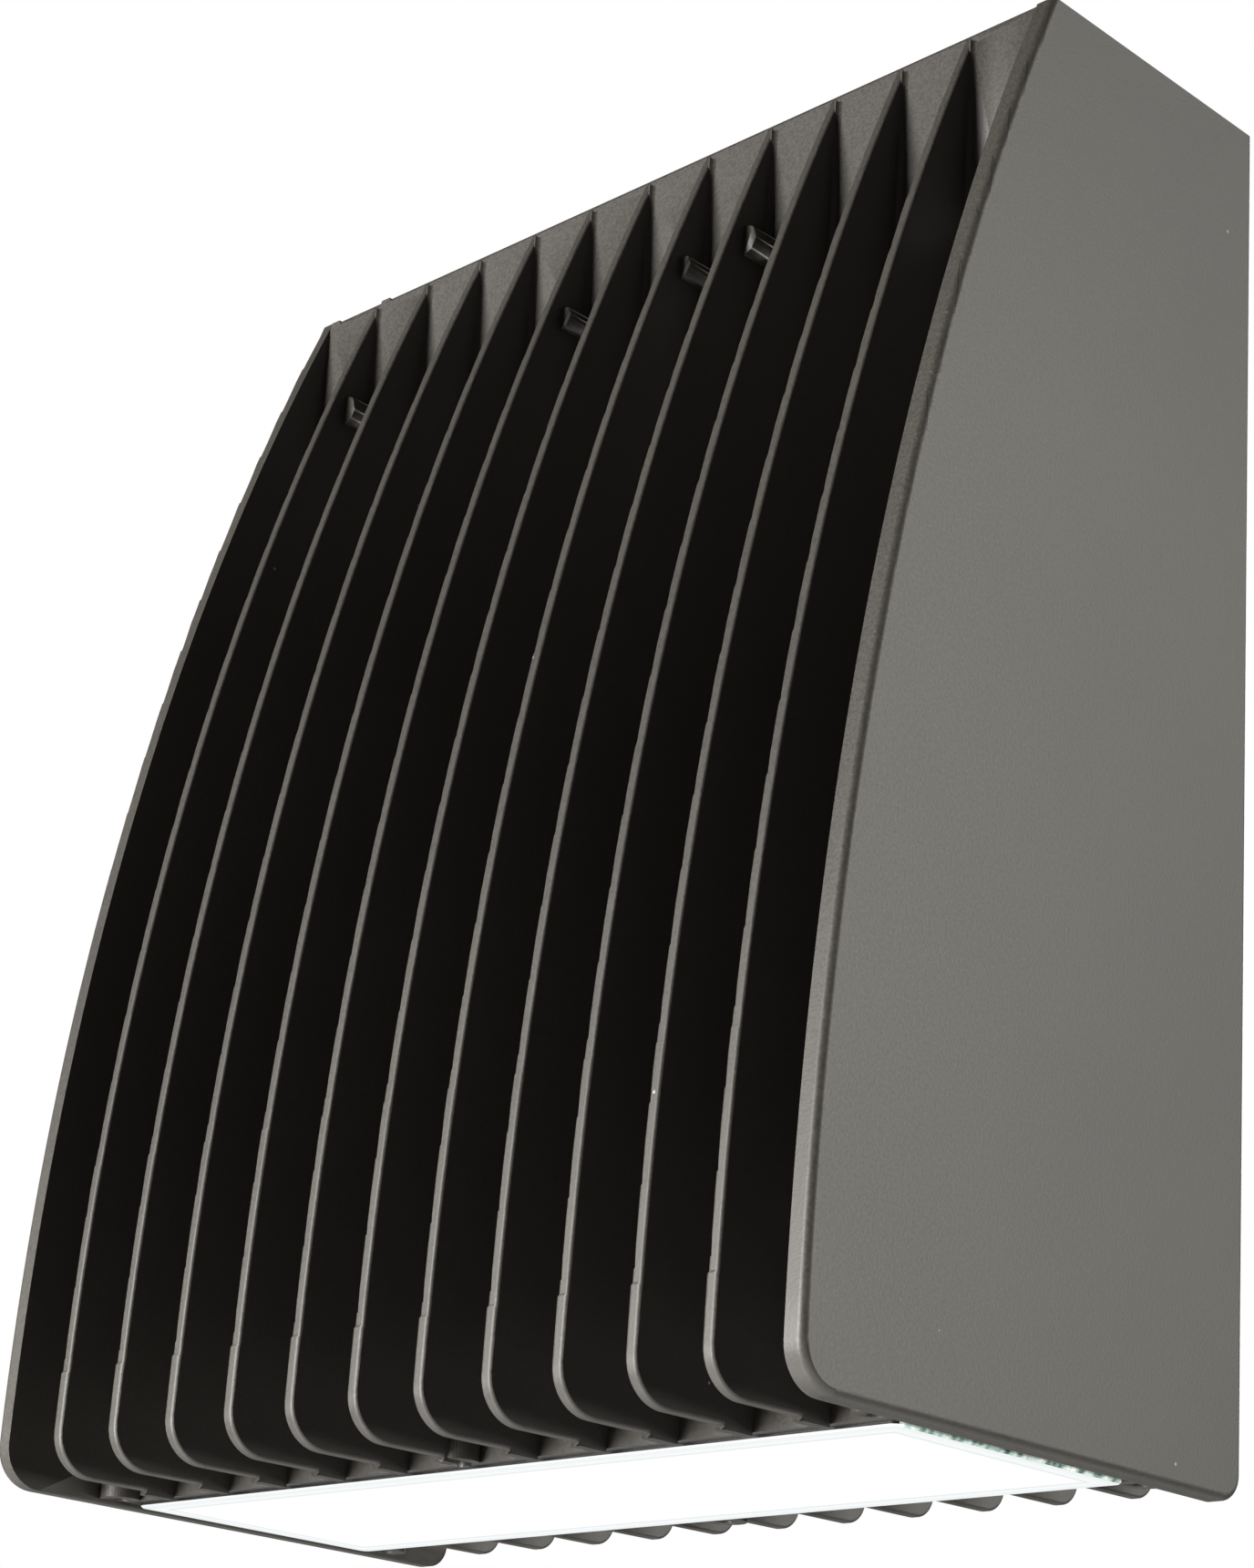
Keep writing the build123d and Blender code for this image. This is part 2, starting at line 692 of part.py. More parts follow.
for colour, y in zip(("red", "black"), led_lead_ys):
    with BuildPart() as led_lead:
        with BuildLine() as route:
            FilletPolyline(
                (bushing_inner_x, y, z_at(led_lead_height)),
                (led_lead_x, y, z_at(led_lead_height)),
                (led_lead_x, y, z_at(board_low - connector_height / 2)),
                (board_right - connector_inset, y, z_at(board_low - connector_height / 2)),
                radius=[led_lead_bend, led_lead_low_bend],
            )
        with BuildSketch(Plane(origin=route.line @ 0, z_dir=route.line % 0)):
            Circle(lead_radius)
        sweep()
    save(led_lead.part, f"led_lead_{colour}")

for colour, height, step in zip(("black", "white", "green"), line_lead_heights, (1, 0, -1)):
    lead_x = line_plug_x + step * line_lead_spacing
    with BuildPart() as line_lead:
        with BuildLine() as route:
            FilletPolyline(
                (-bushing_inner_x, lead_y, z_at(height)),
                (lead_x, lead_y, z_at(height)),
                (lead_x, lead_y, z_at(line_plug_top)),
                radius=line_lead_bend,
            )
        with BuildSketch(Plane(origin=route.line @ 0, z_dir=route.line % 0)):
            Circle(lead_radius)
        sweep()
    save(line_lead.part, f"line_lead_{colour}")

with BuildPart() as lead_grommet:
    rod_z(led_lead_x, lead_y, z_at(shelf_height), z_at(shelf_top), grommet_radius)
    rod_z(led_lead_x, lead_y, z_at(shelf_top), z_at(shelf_top + grommet_flange_thickness), grommet_flange)
    for y in led_lead_ys:
        rod_z(led_lead_x, y, z_at(shelf_height), z_at(shelf_top + grommet_flange_thickness),
              lead_hole_radius, mode=Mode.SUBTRACT)
save(lead_grommet.part, "lead_grommet")

plug_low = line_plug_top - line_plug_length
plug_middle = line_plug_top - line_plug_length / 2
with BuildPart() as line_plug:
    span_box(line_plug_x - line_plug_width / 2, line_plug_x + line_plug_width / 2,
             lead_y - line_plug_depth / 2, lead_y + line_plug_depth / 2,
             z_at(plug_low), z_at(line_plug_top))
    fillet(edges().filter_by(Axis.Z), line_plug_edge_radius)
save(line_plug.part, "line_plug")

with BuildPart() as plug_clip:
    span_box(line_plug_x - line_plug_width / 2 - clip_wall, line_plug_x + line_plug_width / 2 + clip_wall,
             bay_front_y, lead_y, z_at(plug_middle - clip_height / 2), z_at(plug_middle + clip_height / 2))
    add(line_plug.part, mode=Mode.SUBTRACT)
save(plug_clip.part, "plug_clip")

# ---------------------------------------------------------------- surge protector
surge_x = fin_thickness / 2
with BuildPart() as surge_protector:
    span_box(surge_x - surge_width / 2, surge_x + surge_width / 2, bay_front_y, bay_front_y + surge_depth,
             z_at(boss_height - surge_height / 2), z_at(boss_height + surge_height / 2))
    fillet(edges().filter_by(Axis.Y), surge_edge_radius)
    span_box(surge_x - surge_width / 2 - surge_tab, surge_x + surge_width / 2 + surge_tab, bay_front_y,
             bay_front_y + surge_tab_thickness, z_at(boss_height - surge_tab_height / 2),
             z_at(boss_height + surge_tab_height / 2))
    for side in (-1, 1):
        rod_y(surge_x + side * fin_pitch, z_at(boss_height), bay_front_y,
              bay_front_y + surge_tab_thickness, surge_screw_radius + part_gap, mode=Mode.SUBTRACT)
save(surge_protector.part, "surge_protector")

with BuildPart() as surge_screws:
    for side in (-1, 1):
        rod_y(surge_x + side * fin_pitch, z_at(boss_height), bay_front_y + surge_tab_thickness,
              bay_front_y + surge_tab_thickness + surge_screw_head_height, surge_screw_head_radius)
        rod_y(surge_x + side * fin_pitch, z_at(boss_height), front_wall_y + part_gap,
              bay_front_y + surge_tab_thickness, surge_screw_radius)
save(surge_screws.part, "surge_screws")

# ---------------------------------------------------------------- back box
box_middle = z_at((box_bottom + box_top) / 2)
box_height = box_top - box_bottom
plate_front_y = rear_y - box_wall


def box_slab(y_front, y_rear, inset, mode=Mode.ADD):
    """A slab of the back box's rounded outline, drawn in by an inset, between two planes."""
    with BuildSketch(Plane.XZ.offset(-y_rear)) as outline:
        with Locations((0, box_middle)):
            RectangleRounded(2 * (box_half_width - inset), box_height - 2 * inset, box_corner_radius)
    extrude(outline.sketch, amount=y_rear - y_front, mode=mode)


with BuildPart() as back_box:
    box_slab(rim_front_y, rear_y, 0)
    box_slab(rim_front_y + rim_thickness, plate_front_y, box_wall, mode=Mode.SUBTRACT)
    box_slab(rim_front_y, rim_front_y + rim_thickness, rim_width, mode=Mode.SUBTRACT)
    # Boss for the conduit entry and for the ground screw
    rod_y(conduit_x, z_at(conduit_height), rear_y - conduit_boss_length, rear_y, conduit_boss_radius)
    rod_y(ground_x, z_at(block_height), plate_front_y - ground_boss_length, rear_y, ground_boss_radius)
    # Lugs of the hinge
    for height in lug_heights:
        rod_z(hinge_x, hinge_y, z_at(height), z_at(height + lug_height), lug_radius)
        span_box(hinge_x, -box_half_width + box_wall, hinge_y - lug_radius, hinge_y + lug_radius,
                 z_at(height), z_at(height + lug_height))
        rod_z(hinge_x, hinge_y, z_at(height), z_at(height + lug_height), pin_radius + fit_clearance,
              mode=Mode.SUBTRACT)
    # Lugs that the closing screws thread into
    for height in closing_heights:
        rod_y(closing_x, z_at(height), closing_lug_front_y, rear_y, closing_lug_radius)
        span_box(box_half_width - box_wall, closing_x, closing_lug_front_y, rear_y,
                 z_at(height) - closing_lug_radius, z_at(height) + closing_lug_radius)
        rod_y(closing_x, z_at(height), closing_lug_front_y, closing_lug_front_y + closing_hole_depth,
              screw_radius + running_clearance, mode=Mode.SUBTRACT)
    # Pads that stop the box on the wall once the wall gasket is squeezed
    for x in (-corner_hole_spacing_x / 2, corner_hole_spacing_x / 2):
        for z in (-corner_hole_spacing_z / 2, corner_hole_spacing_z / 2):
            rod_y(x, z, rear_y, 0, wall_pad_radius)
    with BuildSketch(Plane.XZ):
        with GridLocations(slot_spacing, 1, 2, 1):
            SlotOverall(slot_length + 2 * wall_pad_margin, 2 * (slot_radius + wall_pad_margin))
    extrude(amount=wall_gap)
    # Holes in the rear plate
    rod_y(0, 0, plate_front_y, rear_y, entry_hole_radius, mode=Mode.SUBTRACT)
    rod_y(conduit_x, z_at(conduit_height), rear_y - conduit_boss_length, rear_y, conduit_radius,
          mode=Mode.SUBTRACT)
    for x in (-corner_hole_spacing_x / 2, corner_hole_spacing_x / 2):
        for z in (-corner_hole_spacing_z / 2, corner_hole_spacing_z / 2):
            rod_y(x, z, plate_front_y, 0, corner_hole_radius, mode=Mode.SUBTRACT)
    with BuildSketch(Plane.XZ):
        with GridLocations(slot_spacing, 1, 2, 1):
            SlotOverall(slot_length, 2 * slot_radius)
    extrude(amount=wall_gap + box_wall, mode=Mode.SUBTRACT)
    # Threaded holes for the ground screw and for the terminal block's screws
    rod_y(ground_x, z_at(block_height), plate_front_y - ground_boss_length, plate_front_y,
          ground_screw_radius + fit_clearance, mode=Mode.SUBTRACT)
    for side in (-1, 1):
        rod_y(block_x + side * (block_length - block_ear) / 2, z_at(block_height), plate_front_y,
              plate_front_y + block_screw_depth, block_screw_radius + fit_clearance, mode=Mode.SUBTRACT)
save(back_box.part, "back_box")

with BuildPart() as wall_gasket:
    box_slab(rear_y, 0, 0)
    box_slab(rear_y, 0, wall_gasket_width, mode=Mode.SUBTRACT)
save(wall_gasket.part, "wall_gasket")

with BuildPart() as rim_gasket:
    gasket_inset = (rim_width - rim_gasket_width) / 2
    box_slab(rim_front_y - rim_gasket_thickness, rim_front_y, gasket_inset)
    box_slab(rim_front_y - rim_gasket_thickness, rim_front_y, gasket_inset + rim_gasket_width,
             mode=Mode.SUBTRACT)
save(rim_gasket.part, "rim_gasket")

with BuildPart() as entry_bushing:
    rod_y(0, 0, plate_front_y, rear_y, entry_hole_radius - fit_clearance)
    rod_y(0, 0, plate_front_y - entry_flange_thickness, plate_front_y, entry_flange_radius)
    rod_y(0, 0, plate_front_y - entry_flange_thickness, rear_y, entry_bore_radius, mode=Mode.SUBTRACT)
save(entry_bushing.part, "entry_bushing")

with BuildPart() as conduit_plug:
    rod_y(conduit_x, z_at(conduit_height), rear_y - plug_length, rear_y, conduit_radius - fit_clearance)
    with BuildSketch(Plane.XZ.offset(-rear_y)):
        with Locations((conduit_x, z_at(conduit_height))):
            RegularPolygon(plug_hex_width / 2, 6, major_radius=False)
    extrude(amount=plug_length / 2, mode=Mode.SUBTRACT)
save(conduit_plug.part, "conduit_plug")

with BuildPart() as hinge_pins:
    for height in lug_heights:
        rod_z(hinge_x, hinge_y, z_at(height), z_at(height + 2 * lug_height + part_gap), pin_radius)
    chamfer(edges().group_by(Axis.Z)[-1], pin_chamfer)
save(hinge_pins.part, "hinge_pins")

with BuildPart() as ground_screw:
    head_y = plate_front_y - ground_boss_length
    rod_y(ground_x, z_at(block_height), head_y - ground_washer_thickness, head_y, ground_head_radius)
    with BuildSketch(Plane.XZ.offset(-head_y)):
        with Locations((ground_x, z_at(block_height))):
            RegularPolygon(ground_hex_width / 2, 6, major_radius=False)
    extrude(amount=ground_head_height)
    rod_y(ground_x, z_at(block_height), head_y, plate_front_y - part_gap, ground_screw_radius)
save(ground_screw.part, "ground_screw")

# ---------------------------------------------------------------- terminal block
block_front_y = plate_front_y - block_depth
block_body = block_length - 2 * block_ear
with BuildPart() as terminal_block:
    span_box(block_x - block_body / 2, block_x + block_body / 2, block_front_y, plate_front_y,
             z_at(block_height - block_width / 2), z_at(block_height + block_width / 2))
    span_box(block_x - block_length / 2, block_x + block_length / 2,
             plate_front_y - block_ear_thickness, plate_front_y,
             z_at(block_height - block_ear), z_at(block_height + block_ear))
    for side in (-1, 1):
        rod_y(block_x + side * (block_length - block_ear) / 2, z_at(block_height),
              plate_front_y - block_ear_thickness, plate_front_y, block_screw_radius + part_gap,
              mode=Mode.SUBTRACT)
    # Wire entries from below and from above
    with Locations((block_x, plate_front_y - block_depth / 2, z_at(block_height))):
        with GridLocations(block_pole_spacing, 1, block_poles, 1):
            Cylinder(block_entry_radius, block_width, mode=Mode.SUBTRACT)
save(terminal_block.part, "terminal_block")

with BuildPart() as clamp_screws:
    with BuildSketch(Plane.XZ.offset(-block_front_y)):
        with Locations((block_x, z_at(block_height))):
            with GridLocations(block_pole_spacing, block_width / 2, block_poles, 2):
                Circle(clamp_screw_radius)
    extrude(amount=clamp_screw_height)
save(clamp_screws.part, "clamp_screws")

with BuildPart() as block_screws:
    for side in (-1, 1):
        screw_x = block_x + side * (block_length - block_ear) / 2
        ear_front_y = plate_front_y - block_ear_thickness
        rod_y(screw_x, z_at(block_height), ear_front_y - block_screw_head_height, ear_front_y,
              block_screw_head_radius)
        rod_y(screw_x, z_at(block_height), ear_front_y, plate_front_y + block_screw_depth - part_gap,
              block_screw_radius)
save(block_screws.part, "block_screws")

# ---------------------------------------------------------------- closing screws, drawn released
head_y = head_seat_y - screw_travel - running_clearance
for place, height in zip(("lower", "upper"), closing_heights):
    with BuildPart() as closing_screw:
        rod_y(closing_x, z_at(height), head_y - screw_head_height, head_y, screw_head_radius)
        chamfer(edges().group_by(Axis.Y)[0], screw_head_chamfer)
        with BuildSketch(Plane.XZ.offset(screw_head_height - head_y)):
            with Locations((closing_x, z_at(height))):
                RegularPolygon(screw_socket_width / 2, 6, major_radius=False)
        extrude(amount=-screw_socket_depth, mode=Mode.SUBTRACT)
        rod_y(closing_x, z_at(height), head_y, closing_lug_front_y - part_gap, screw_radius)
    save(closing_screw.part, f"closing_screw_{place}")
    with BuildPart() as retaining_ring:
        ring_y = ledge_rear_y + part_gap
        rod_y(closing_x, z_at(height), ring_y, ring_y + ring_thickness, ring_radius)
        rod_y(closing_x, z_at(height), ring_y, ring_y + ring_thickness, screw_radius + fit_clearance,
              mode=Mode.SUBTRACT)
    save(retaining_ring.part, f"retaining_ring_{place}")
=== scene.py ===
import json
import math

import bmesh
import bpy
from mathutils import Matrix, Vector

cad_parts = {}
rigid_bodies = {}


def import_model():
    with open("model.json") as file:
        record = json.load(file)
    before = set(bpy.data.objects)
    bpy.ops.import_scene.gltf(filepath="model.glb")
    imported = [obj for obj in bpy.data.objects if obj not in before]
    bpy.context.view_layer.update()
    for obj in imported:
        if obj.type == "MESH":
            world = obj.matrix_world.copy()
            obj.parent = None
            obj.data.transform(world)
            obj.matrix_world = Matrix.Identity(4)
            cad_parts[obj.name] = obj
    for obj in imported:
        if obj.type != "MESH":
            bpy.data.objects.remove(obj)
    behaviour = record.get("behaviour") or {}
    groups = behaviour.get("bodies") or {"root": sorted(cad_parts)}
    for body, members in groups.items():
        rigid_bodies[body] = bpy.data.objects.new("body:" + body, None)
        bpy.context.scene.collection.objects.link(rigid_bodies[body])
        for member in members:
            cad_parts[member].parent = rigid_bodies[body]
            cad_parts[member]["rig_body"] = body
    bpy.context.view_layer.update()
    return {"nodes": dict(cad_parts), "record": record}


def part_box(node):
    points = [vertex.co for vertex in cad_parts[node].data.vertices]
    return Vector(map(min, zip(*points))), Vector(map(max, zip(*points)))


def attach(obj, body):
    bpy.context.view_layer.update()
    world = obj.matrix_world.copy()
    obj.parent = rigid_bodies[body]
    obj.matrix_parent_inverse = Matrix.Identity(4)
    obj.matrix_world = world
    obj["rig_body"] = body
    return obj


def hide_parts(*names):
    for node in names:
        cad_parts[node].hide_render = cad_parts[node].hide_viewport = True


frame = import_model()

MM = 0.001
merge_gap = 0.001 * MM

# Places taken from the frame
housing_low, housing_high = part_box("finned_housing")
lens_low, lens_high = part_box("glass_lens")
panel_bottom = housing_low.z

# The fins' side profile, as the casting has it: an arc above a rounded corner
arc_radius = 694 * MM
arc_centre_y = housing_low.y + arc_radius
arc_centre_z = panel_bottom + 9 * MM
corner_radius = 8 * MM
fin_pitch = 17 * MM
fin_thickness = 2.3 * MM
fin_edge_radius = 0.6 * MM
outer_fin = 5
panel_thickness = 4.1 * MM
panel_edge_radius = 1.5 * MM
bay_wall_y = -67 * MM


# ---------------------------------------------------------------- small tools
def linear(code, alpha=1.0):
    """A linear colour from sRGB hex digits."""
    channels = []
    for start in (0, 2, 4):
        share = int(code[start:start + 2], 16) / 255
        channels.append(share / 12.92 if share <= 0.04045 else ((share + 0.055) / 1.055) ** 2.4)
    return (*channels, alpha)


def add_node(tree, kind, inputs=None, stops=None, **settings):
    """Add a node: set its options and ramp stops, and set or link its inputs."""
    node = tree.nodes.new(kind)
    for name, value in settings.items():
        setattr(node, name, value)
    if stops:
        elements = node.color_ramp.elements
        while len(elements) < len(stops):
            elements.new(1.0)
        for element, (position, colour) in zip(elements, stops):
            element.position = position
            element.color = colour
    for name, value in (inputs or {}).items():
        if isinstance(value, bpy.types.NodeSocket):
            tree.links.new(value, node.inputs[name])
        else:
            node.inputs[name].default_value = value
    return node


def new_material(name):
    """A material with its tree, its surface shader and the object's own coordinates."""
    made = bpy.data.materials.new(name)
    made.use_nodes = True
    tree = made.node_tree
    shader = tree.nodes["Principled BSDF"]
    coords = add_node(tree, "ShaderNodeTexCoord").outputs["Object"]
    return made, tree, shader, coords


def as_object(name, mesh):
    """An object for a finished mesh, at the origin."""
    made = bpy.data.objects.new(name, mesh)
    bpy.context.scene.collection.objects.link(made)
    return made


def smooth_by_angle(mesh, degrees=32):
    """Smooth shading that stops at corners."""
    for polygon in mesh.polygons:
        polygon.use_smooth = True
    mesh.set_sharp_from_angle(angle=math.radians(degrees))


def merged(node):
    """A CAD node's shape with its loose triangles joined."""
    shape = bmesh.new()
    shape.from_mesh(frame["nodes"][node].data)
    bmesh.ops.remove_doubles(shape, verts=shape.verts, dist=merge_gap)
    return shape


def separate_boxes(node):
    """The lowest and highest corner of each solid in a node that holds several."""
    shape = merged(node)
    waiting = set(shape.verts)
    boxes = []
    while waiting:
        reached = [waiting.pop()]
        group = []
        while reached:
            vertex = reached.pop()
            group.append(vertex.co.copy())
            for edge in vertex.link_edges:
                other = edge.other_vert(vertex)
                if other in waiting:
                    waiting.discard(other)
                    reached.append(other)
        low = Vector([min(point[axis] for point in group) for axis in range(3)])
        high = Vector([max(point[axis] for point in group) for axis in range(3)])
        boxes.append((low, high))
    shape.free()
    return sorted(boxes, key=lambda box: tuple(round(value, 5) for value in box[0]))


def stand_in(piece, node):
    """Let a piece take a CAD node's place and body."""
    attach(piece, frame["nodes"][node]["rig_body"])
    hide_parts(node)


def evaluated_mesh(made):
    """A plain mesh of an object with its modifiers worked out."""
    depsgraph = bpy.context.evaluated_depsgraph_get()
    return bpy.data.meshes.new_from_object(made.evaluated_get(depsgraph), depsgraph=depsgraph)


# ---------------------------------------------------------------- camera
camera_place = (459.68 * MM, -504.74 * MM, -261.75 * MM)
camera_turn = (108.1177, -3.4129, 44.1430)
camera_lens = 80.06
camera_shift_x = -0.02306
camera_shift_y = 0.10183

camera_data = bpy.data.cameras.new("camera")
camera_data.lens = camera_lens
camera_data.shift_x = camera_shift_x
camera_data.shift_y = camera_shift_y
camera = bpy.data.objects.new("camera", camera_data)
camera.location = camera_place
camera.rotation_euler = [math.radians(angle) for angle in camera_turn]
bpy.context.scene.collection.objects.link(camera)
bpy.context.scene.camera = camera
bpy.context.scene.view_settings.view_transform = "Standard"


# ---------------------------------------------------------------- studio
def soft_box(name, place, target, size, power, colour="ffffff"):
    """A rectangular soft light that points at a target."""
    data = bpy.data.lights.new(name, "AREA")
    data.shape = "RECTANGLE"
    data.size, data.size_y = size
    data.energy = power
    data.color = linear(colour)[:3]
    light = bpy.data.objects.new(name, data)
    light.location = place
    light.rotation_euler = (Vector(target) - Vector(place)).to_track_quat("-Z", "Y").to_euler()
    bpy.context.scene.collection.objects.link(light)


def build_studio():
    """A pale floor well below the light, a white surround and soft boxes.

    The front box stands to the left, so it lights the fins' edges and leaves their right faces dark. The
    right box stands behind the wall plane, so it lights the panel and doesn't reach between the fins. The
    floor box hangs below the light and faces down, so it lights the floor only. The surround is white to
    the camera and dim to the object, which keeps the gaps between the fins dark.
    """
    floor_z = -1.7
    floor_half = 2.6
    floor_mesh = bpy.data.meshes.new("studio_floor")
    corners = [(x * floor_half, y * floor_half, floor_z)
               for x, y in ((-1, -1), (1, -1), (1, 1), (-1, 1))]
    floor_mesh.from_pydata(corners, [], [(0, 1, 2, 3)])
    floor = as_object("studio_floor", floor_mesh)
    finish, tree, shader, coords = new_material("studio_floor_paint")
    mottle_mm = 400
    mottle = add_node(tree, "ShaderNodeTexNoise", {"Vector": coords, "Scale": 1 / (mottle_mm * MM)})
    tone = add_node(tree, "ShaderNodeValToRGB", {"Fac": mottle.outputs["Fac"]},
                    stops=[(0.3, linear("e6e6e4")), (0.7, linear("eaeae8"))])
    tree.links.new(tone.outputs["Color"], shader.inputs["Base Color"])
    shader.inputs["Roughness"].default_value = 0.85
    floor_mesh.materials.append(finish)

    world = bpy.data.worlds.new("studio")
    bpy.context.scene.world = world
    world.use_nodes = True
    tree = world.node_tree
    tree.nodes.clear()
    seen = add_node(tree, "ShaderNodeBackground", {"Color": linear("ffffff"), "Strength": 1.0})
    fill = add_node(tree, "ShaderNodeBackground", {"Color": linear("f2f4f6"), "Strength": 0.03})
    rays = add_node(tree, "ShaderNodeLightPath")
    mix = add_node(tree, "ShaderNodeMixShader", {0: rays.outputs["Is Camera Ray"],
                                                 1: fill.outputs[0], 2: seen.outputs[0]})
    add_node(tree, "ShaderNodeOutputWorld", {"Surface": mix.outputs[0]})

    # Name, place, target and size in metres, power in watts, colour
    soft_box("front_left_box", (-0.62, -1.80, -0.22), (0, -0.06, -0.02), (0.8, 1.3), 112, "fffdf9")
    soft_box("right_box", (1.50, 0.85, 0.30), (0.1, -0.06, -0.02), (0.9, 1.6), 37, "fffdf6")
    soft_box("low_box", (-0.5, -0.7, -1.2), (0, -0.08, -0.15), (0.8, 0.8), 10, "ffffff")
    soft_box("rear_box", (-1.2, 1.7, 0.9), (0, 0, 0), (1.4, 1.4), 60, "ffffff")
    soft_box("floor_box", (0, 0, -0.9), (0, 0, floor_z), (5.0, 5.0), 40, "ffffff")


build_studio()


# ---------------------------------------------------------------- finishes
def mottled(name, dark, light, cloud_mm, grain_mm, grain_depth_mm, rough,
            ior=1.5, metallic=0.0, stretch=(1, 1, 1)):
    """The common ground of the finishes: a tone that drifts between two colours over a real distance, a
    grain of a real size and depth, and gloss that varies with the grain. Gives the parts that a finish
    builds on."""
    made, tree, shader, coords = new_material(name)
    placed = add_node(tree, "ShaderNodeMapping", {"Vector": coords, "Scale": stretch}).outputs["Vector"]
    clouds = add_node(tree, "ShaderNodeTexNoise", {"Vector": placed, "Scale": 1 / (cloud_mm * MM),
                                                   "Detail": 3.0, "Roughness": 0.6})
    tone = add_node(tree, "ShaderNodeValToRGB", {"Fac": clouds.outputs["Fac"]},
                    stops=[(0.32, linear(dark)), (0.68, linear(light))])
    grain = add_node(tree, "ShaderNodeTexNoise", {"Vector": placed, "Scale": 1 / (grain_mm * MM),
                                                  "Detail": 3.0, "Roughness": 0.55})
    bump = add_node(tree, "ShaderNodeBump", {
        "Height": grain.outputs["Fac"], "Strength": 1.0, "Distance": grain_depth_mm * MM})
    dullness = add_node(tree, "ShaderNodeMapRange", {
        "Value": grain.outputs["Fac"], "From Min": 0.3, "From Max": 0.7,
        "To Min": rough[0], "To Max": rough[1]})
    tree.links.new(tone.outputs["Color"], shader.inputs["Base Color"])
    tree.links.new(bump.outputs["Normal"], shader.inputs["Normal"])
    tree.links.new(dullness.outputs["Result"], shader.inputs["Roughness"])
    shader.inputs["Metallic"].default_value = metallic
    if not metallic:
        shader.inputs["IOR"].default_value = ior
    return made, tree, shader, coords, tone.outputs["Color"], grain.outputs["Fac"]


def bronze_powder_coat():
    """Polyester powder coat, sprayed and baked on die-cast aluminium: a dark bronze with a fine orange
    peel, faint drifts of tone, and scattered pale specks of painted highlight. The orange peel is drawn at
    0.6 mm, coarser than the real 0.4 mm, so that it shows."""
    peel_mm = 0.6
    made, tree, shader, coords, tone, grain = mottled(
        "bronze_powder_coat", "34312e", "3a3733", 70, peel_mm, 0.03, (0.44, 0.54), ior=1.52)
    # Pale specks of painted highlight, scattered at random over the coat
    glint_speck_mm = 19
    glint_speck_share = 0.016
    glint_specks = add_node(tree, "ShaderNodeTexVoronoi", {"Vector": coords, "Scale": 1 / (glint_speck_mm * MM)})
    in_glint_speck = add_node(tree, "ShaderNodeMath", {0: glint_specks.outputs["Distance"], 1: glint_speck_share},
                        operation="LESS_THAN")
    sand = add_node(tree, "ShaderNodeValToRGB", {"Fac": grain},
                    stops=[(0.35, linear("d2d2d2")), (0.62, linear("ffffff"))])
    sanded = add_node(tree, "ShaderNodeMix", {"Factor": 0.8, "A": tone, "B": sand.outputs["Color"]},
                      data_type="RGBA", blend_type="MULTIPLY")
    glint_specked = add_node(tree, "ShaderNodeMix", {
        "Factor": in_glint_speck.outputs[0], "A": sanded.outputs["Result"], "B": linear("8d8a86")},
        data_type="RGBA")
    tree.links.new(glint_specked.outputs["Result"], shader.inputs["Base Color"])
    return made


def lit_frosted_glass():
    """Tempered soda-lime glass, frosted inside and lit from behind, its light a painted glow: clipped
    white, with a band of painted shade along the border where the reflector ends."""
    made, tree, shader, coords = new_material("lit_frosted_glass")
    middle = (lens_low + lens_high) / 2
    half = (lens_high - lens_low) / 2
    centred = add_node(tree, "ShaderNodeVectorMath", {0: coords, 1: middle}, operation="SUBTRACT")
    apart = add_node(tree, "ShaderNodeSeparateXYZ", {"Vector": centred.outputs["Vector"]})
    from_side = []
    for axis, reach in (("X", half.x), ("Y", half.y)):
        size = add_node(tree, "ShaderNodeMath", {0: apart.outputs[axis]}, operation="ABSOLUTE")
        from_side.append(add_node(tree, "ShaderNodeMath", {0: reach, 1: size.outputs[0]},
                                  operation="SUBTRACT"))
    border = add_node(tree, "ShaderNodeMath", {0: from_side[0].outputs[0], 1: from_side[1].outputs[0]},
                      operation="MINIMUM")
    shade_band_mm = 5.5
    share = add_node(tree, "ShaderNodeMath", {0: border.outputs[0], 1: 2 * shade_band_mm * MM},
                     operation="DIVIDE")
    # Painted glow of the lit lens, with a dimmer band of painted shade near the border
    painted_glow_and_border_shade = add_node(tree, "ShaderNodeValToRGB", {"Fac": share.outputs[0]}, stops=[
        (0.0, linear("e6eaea")), (0.36, linear("f4f6f6")), (0.42, linear("dde1e1")),
        (0.5, linear("f8fafa")),
        (0.56, linear("ffffff"))])
    tree.links.new(painted_glow_and_border_shade.outputs["Color"], shader.inputs["Emission Color"])
    # The glass itself emits this painted glow, though it is no lamp
    shader.inputs["Emission Strength"].default_value = 1.0
    shader.inputs["Base Color"].default_value = linear("3a3e3e")
    shader.inputs["Roughness"].default_value = 0.12
    shader.inputs["IOR"].default_value = 1.52
    frost_mm = 0.6
    frost = add_node(tree, "ShaderNodeTexNoise", {
        "Vector": coords, "Scale": 1 / (frost_mm * MM), "Detail": 2.0})
    bump = add_node(tree, "ShaderNodeBump", {
        "Height": frost.outputs["Fac"], "Strength": 1.0, "Distance": 0.005 * MM})
    tree.links.new(bump.outputs["Normal"], shader.inputs["Normal"])
    return made


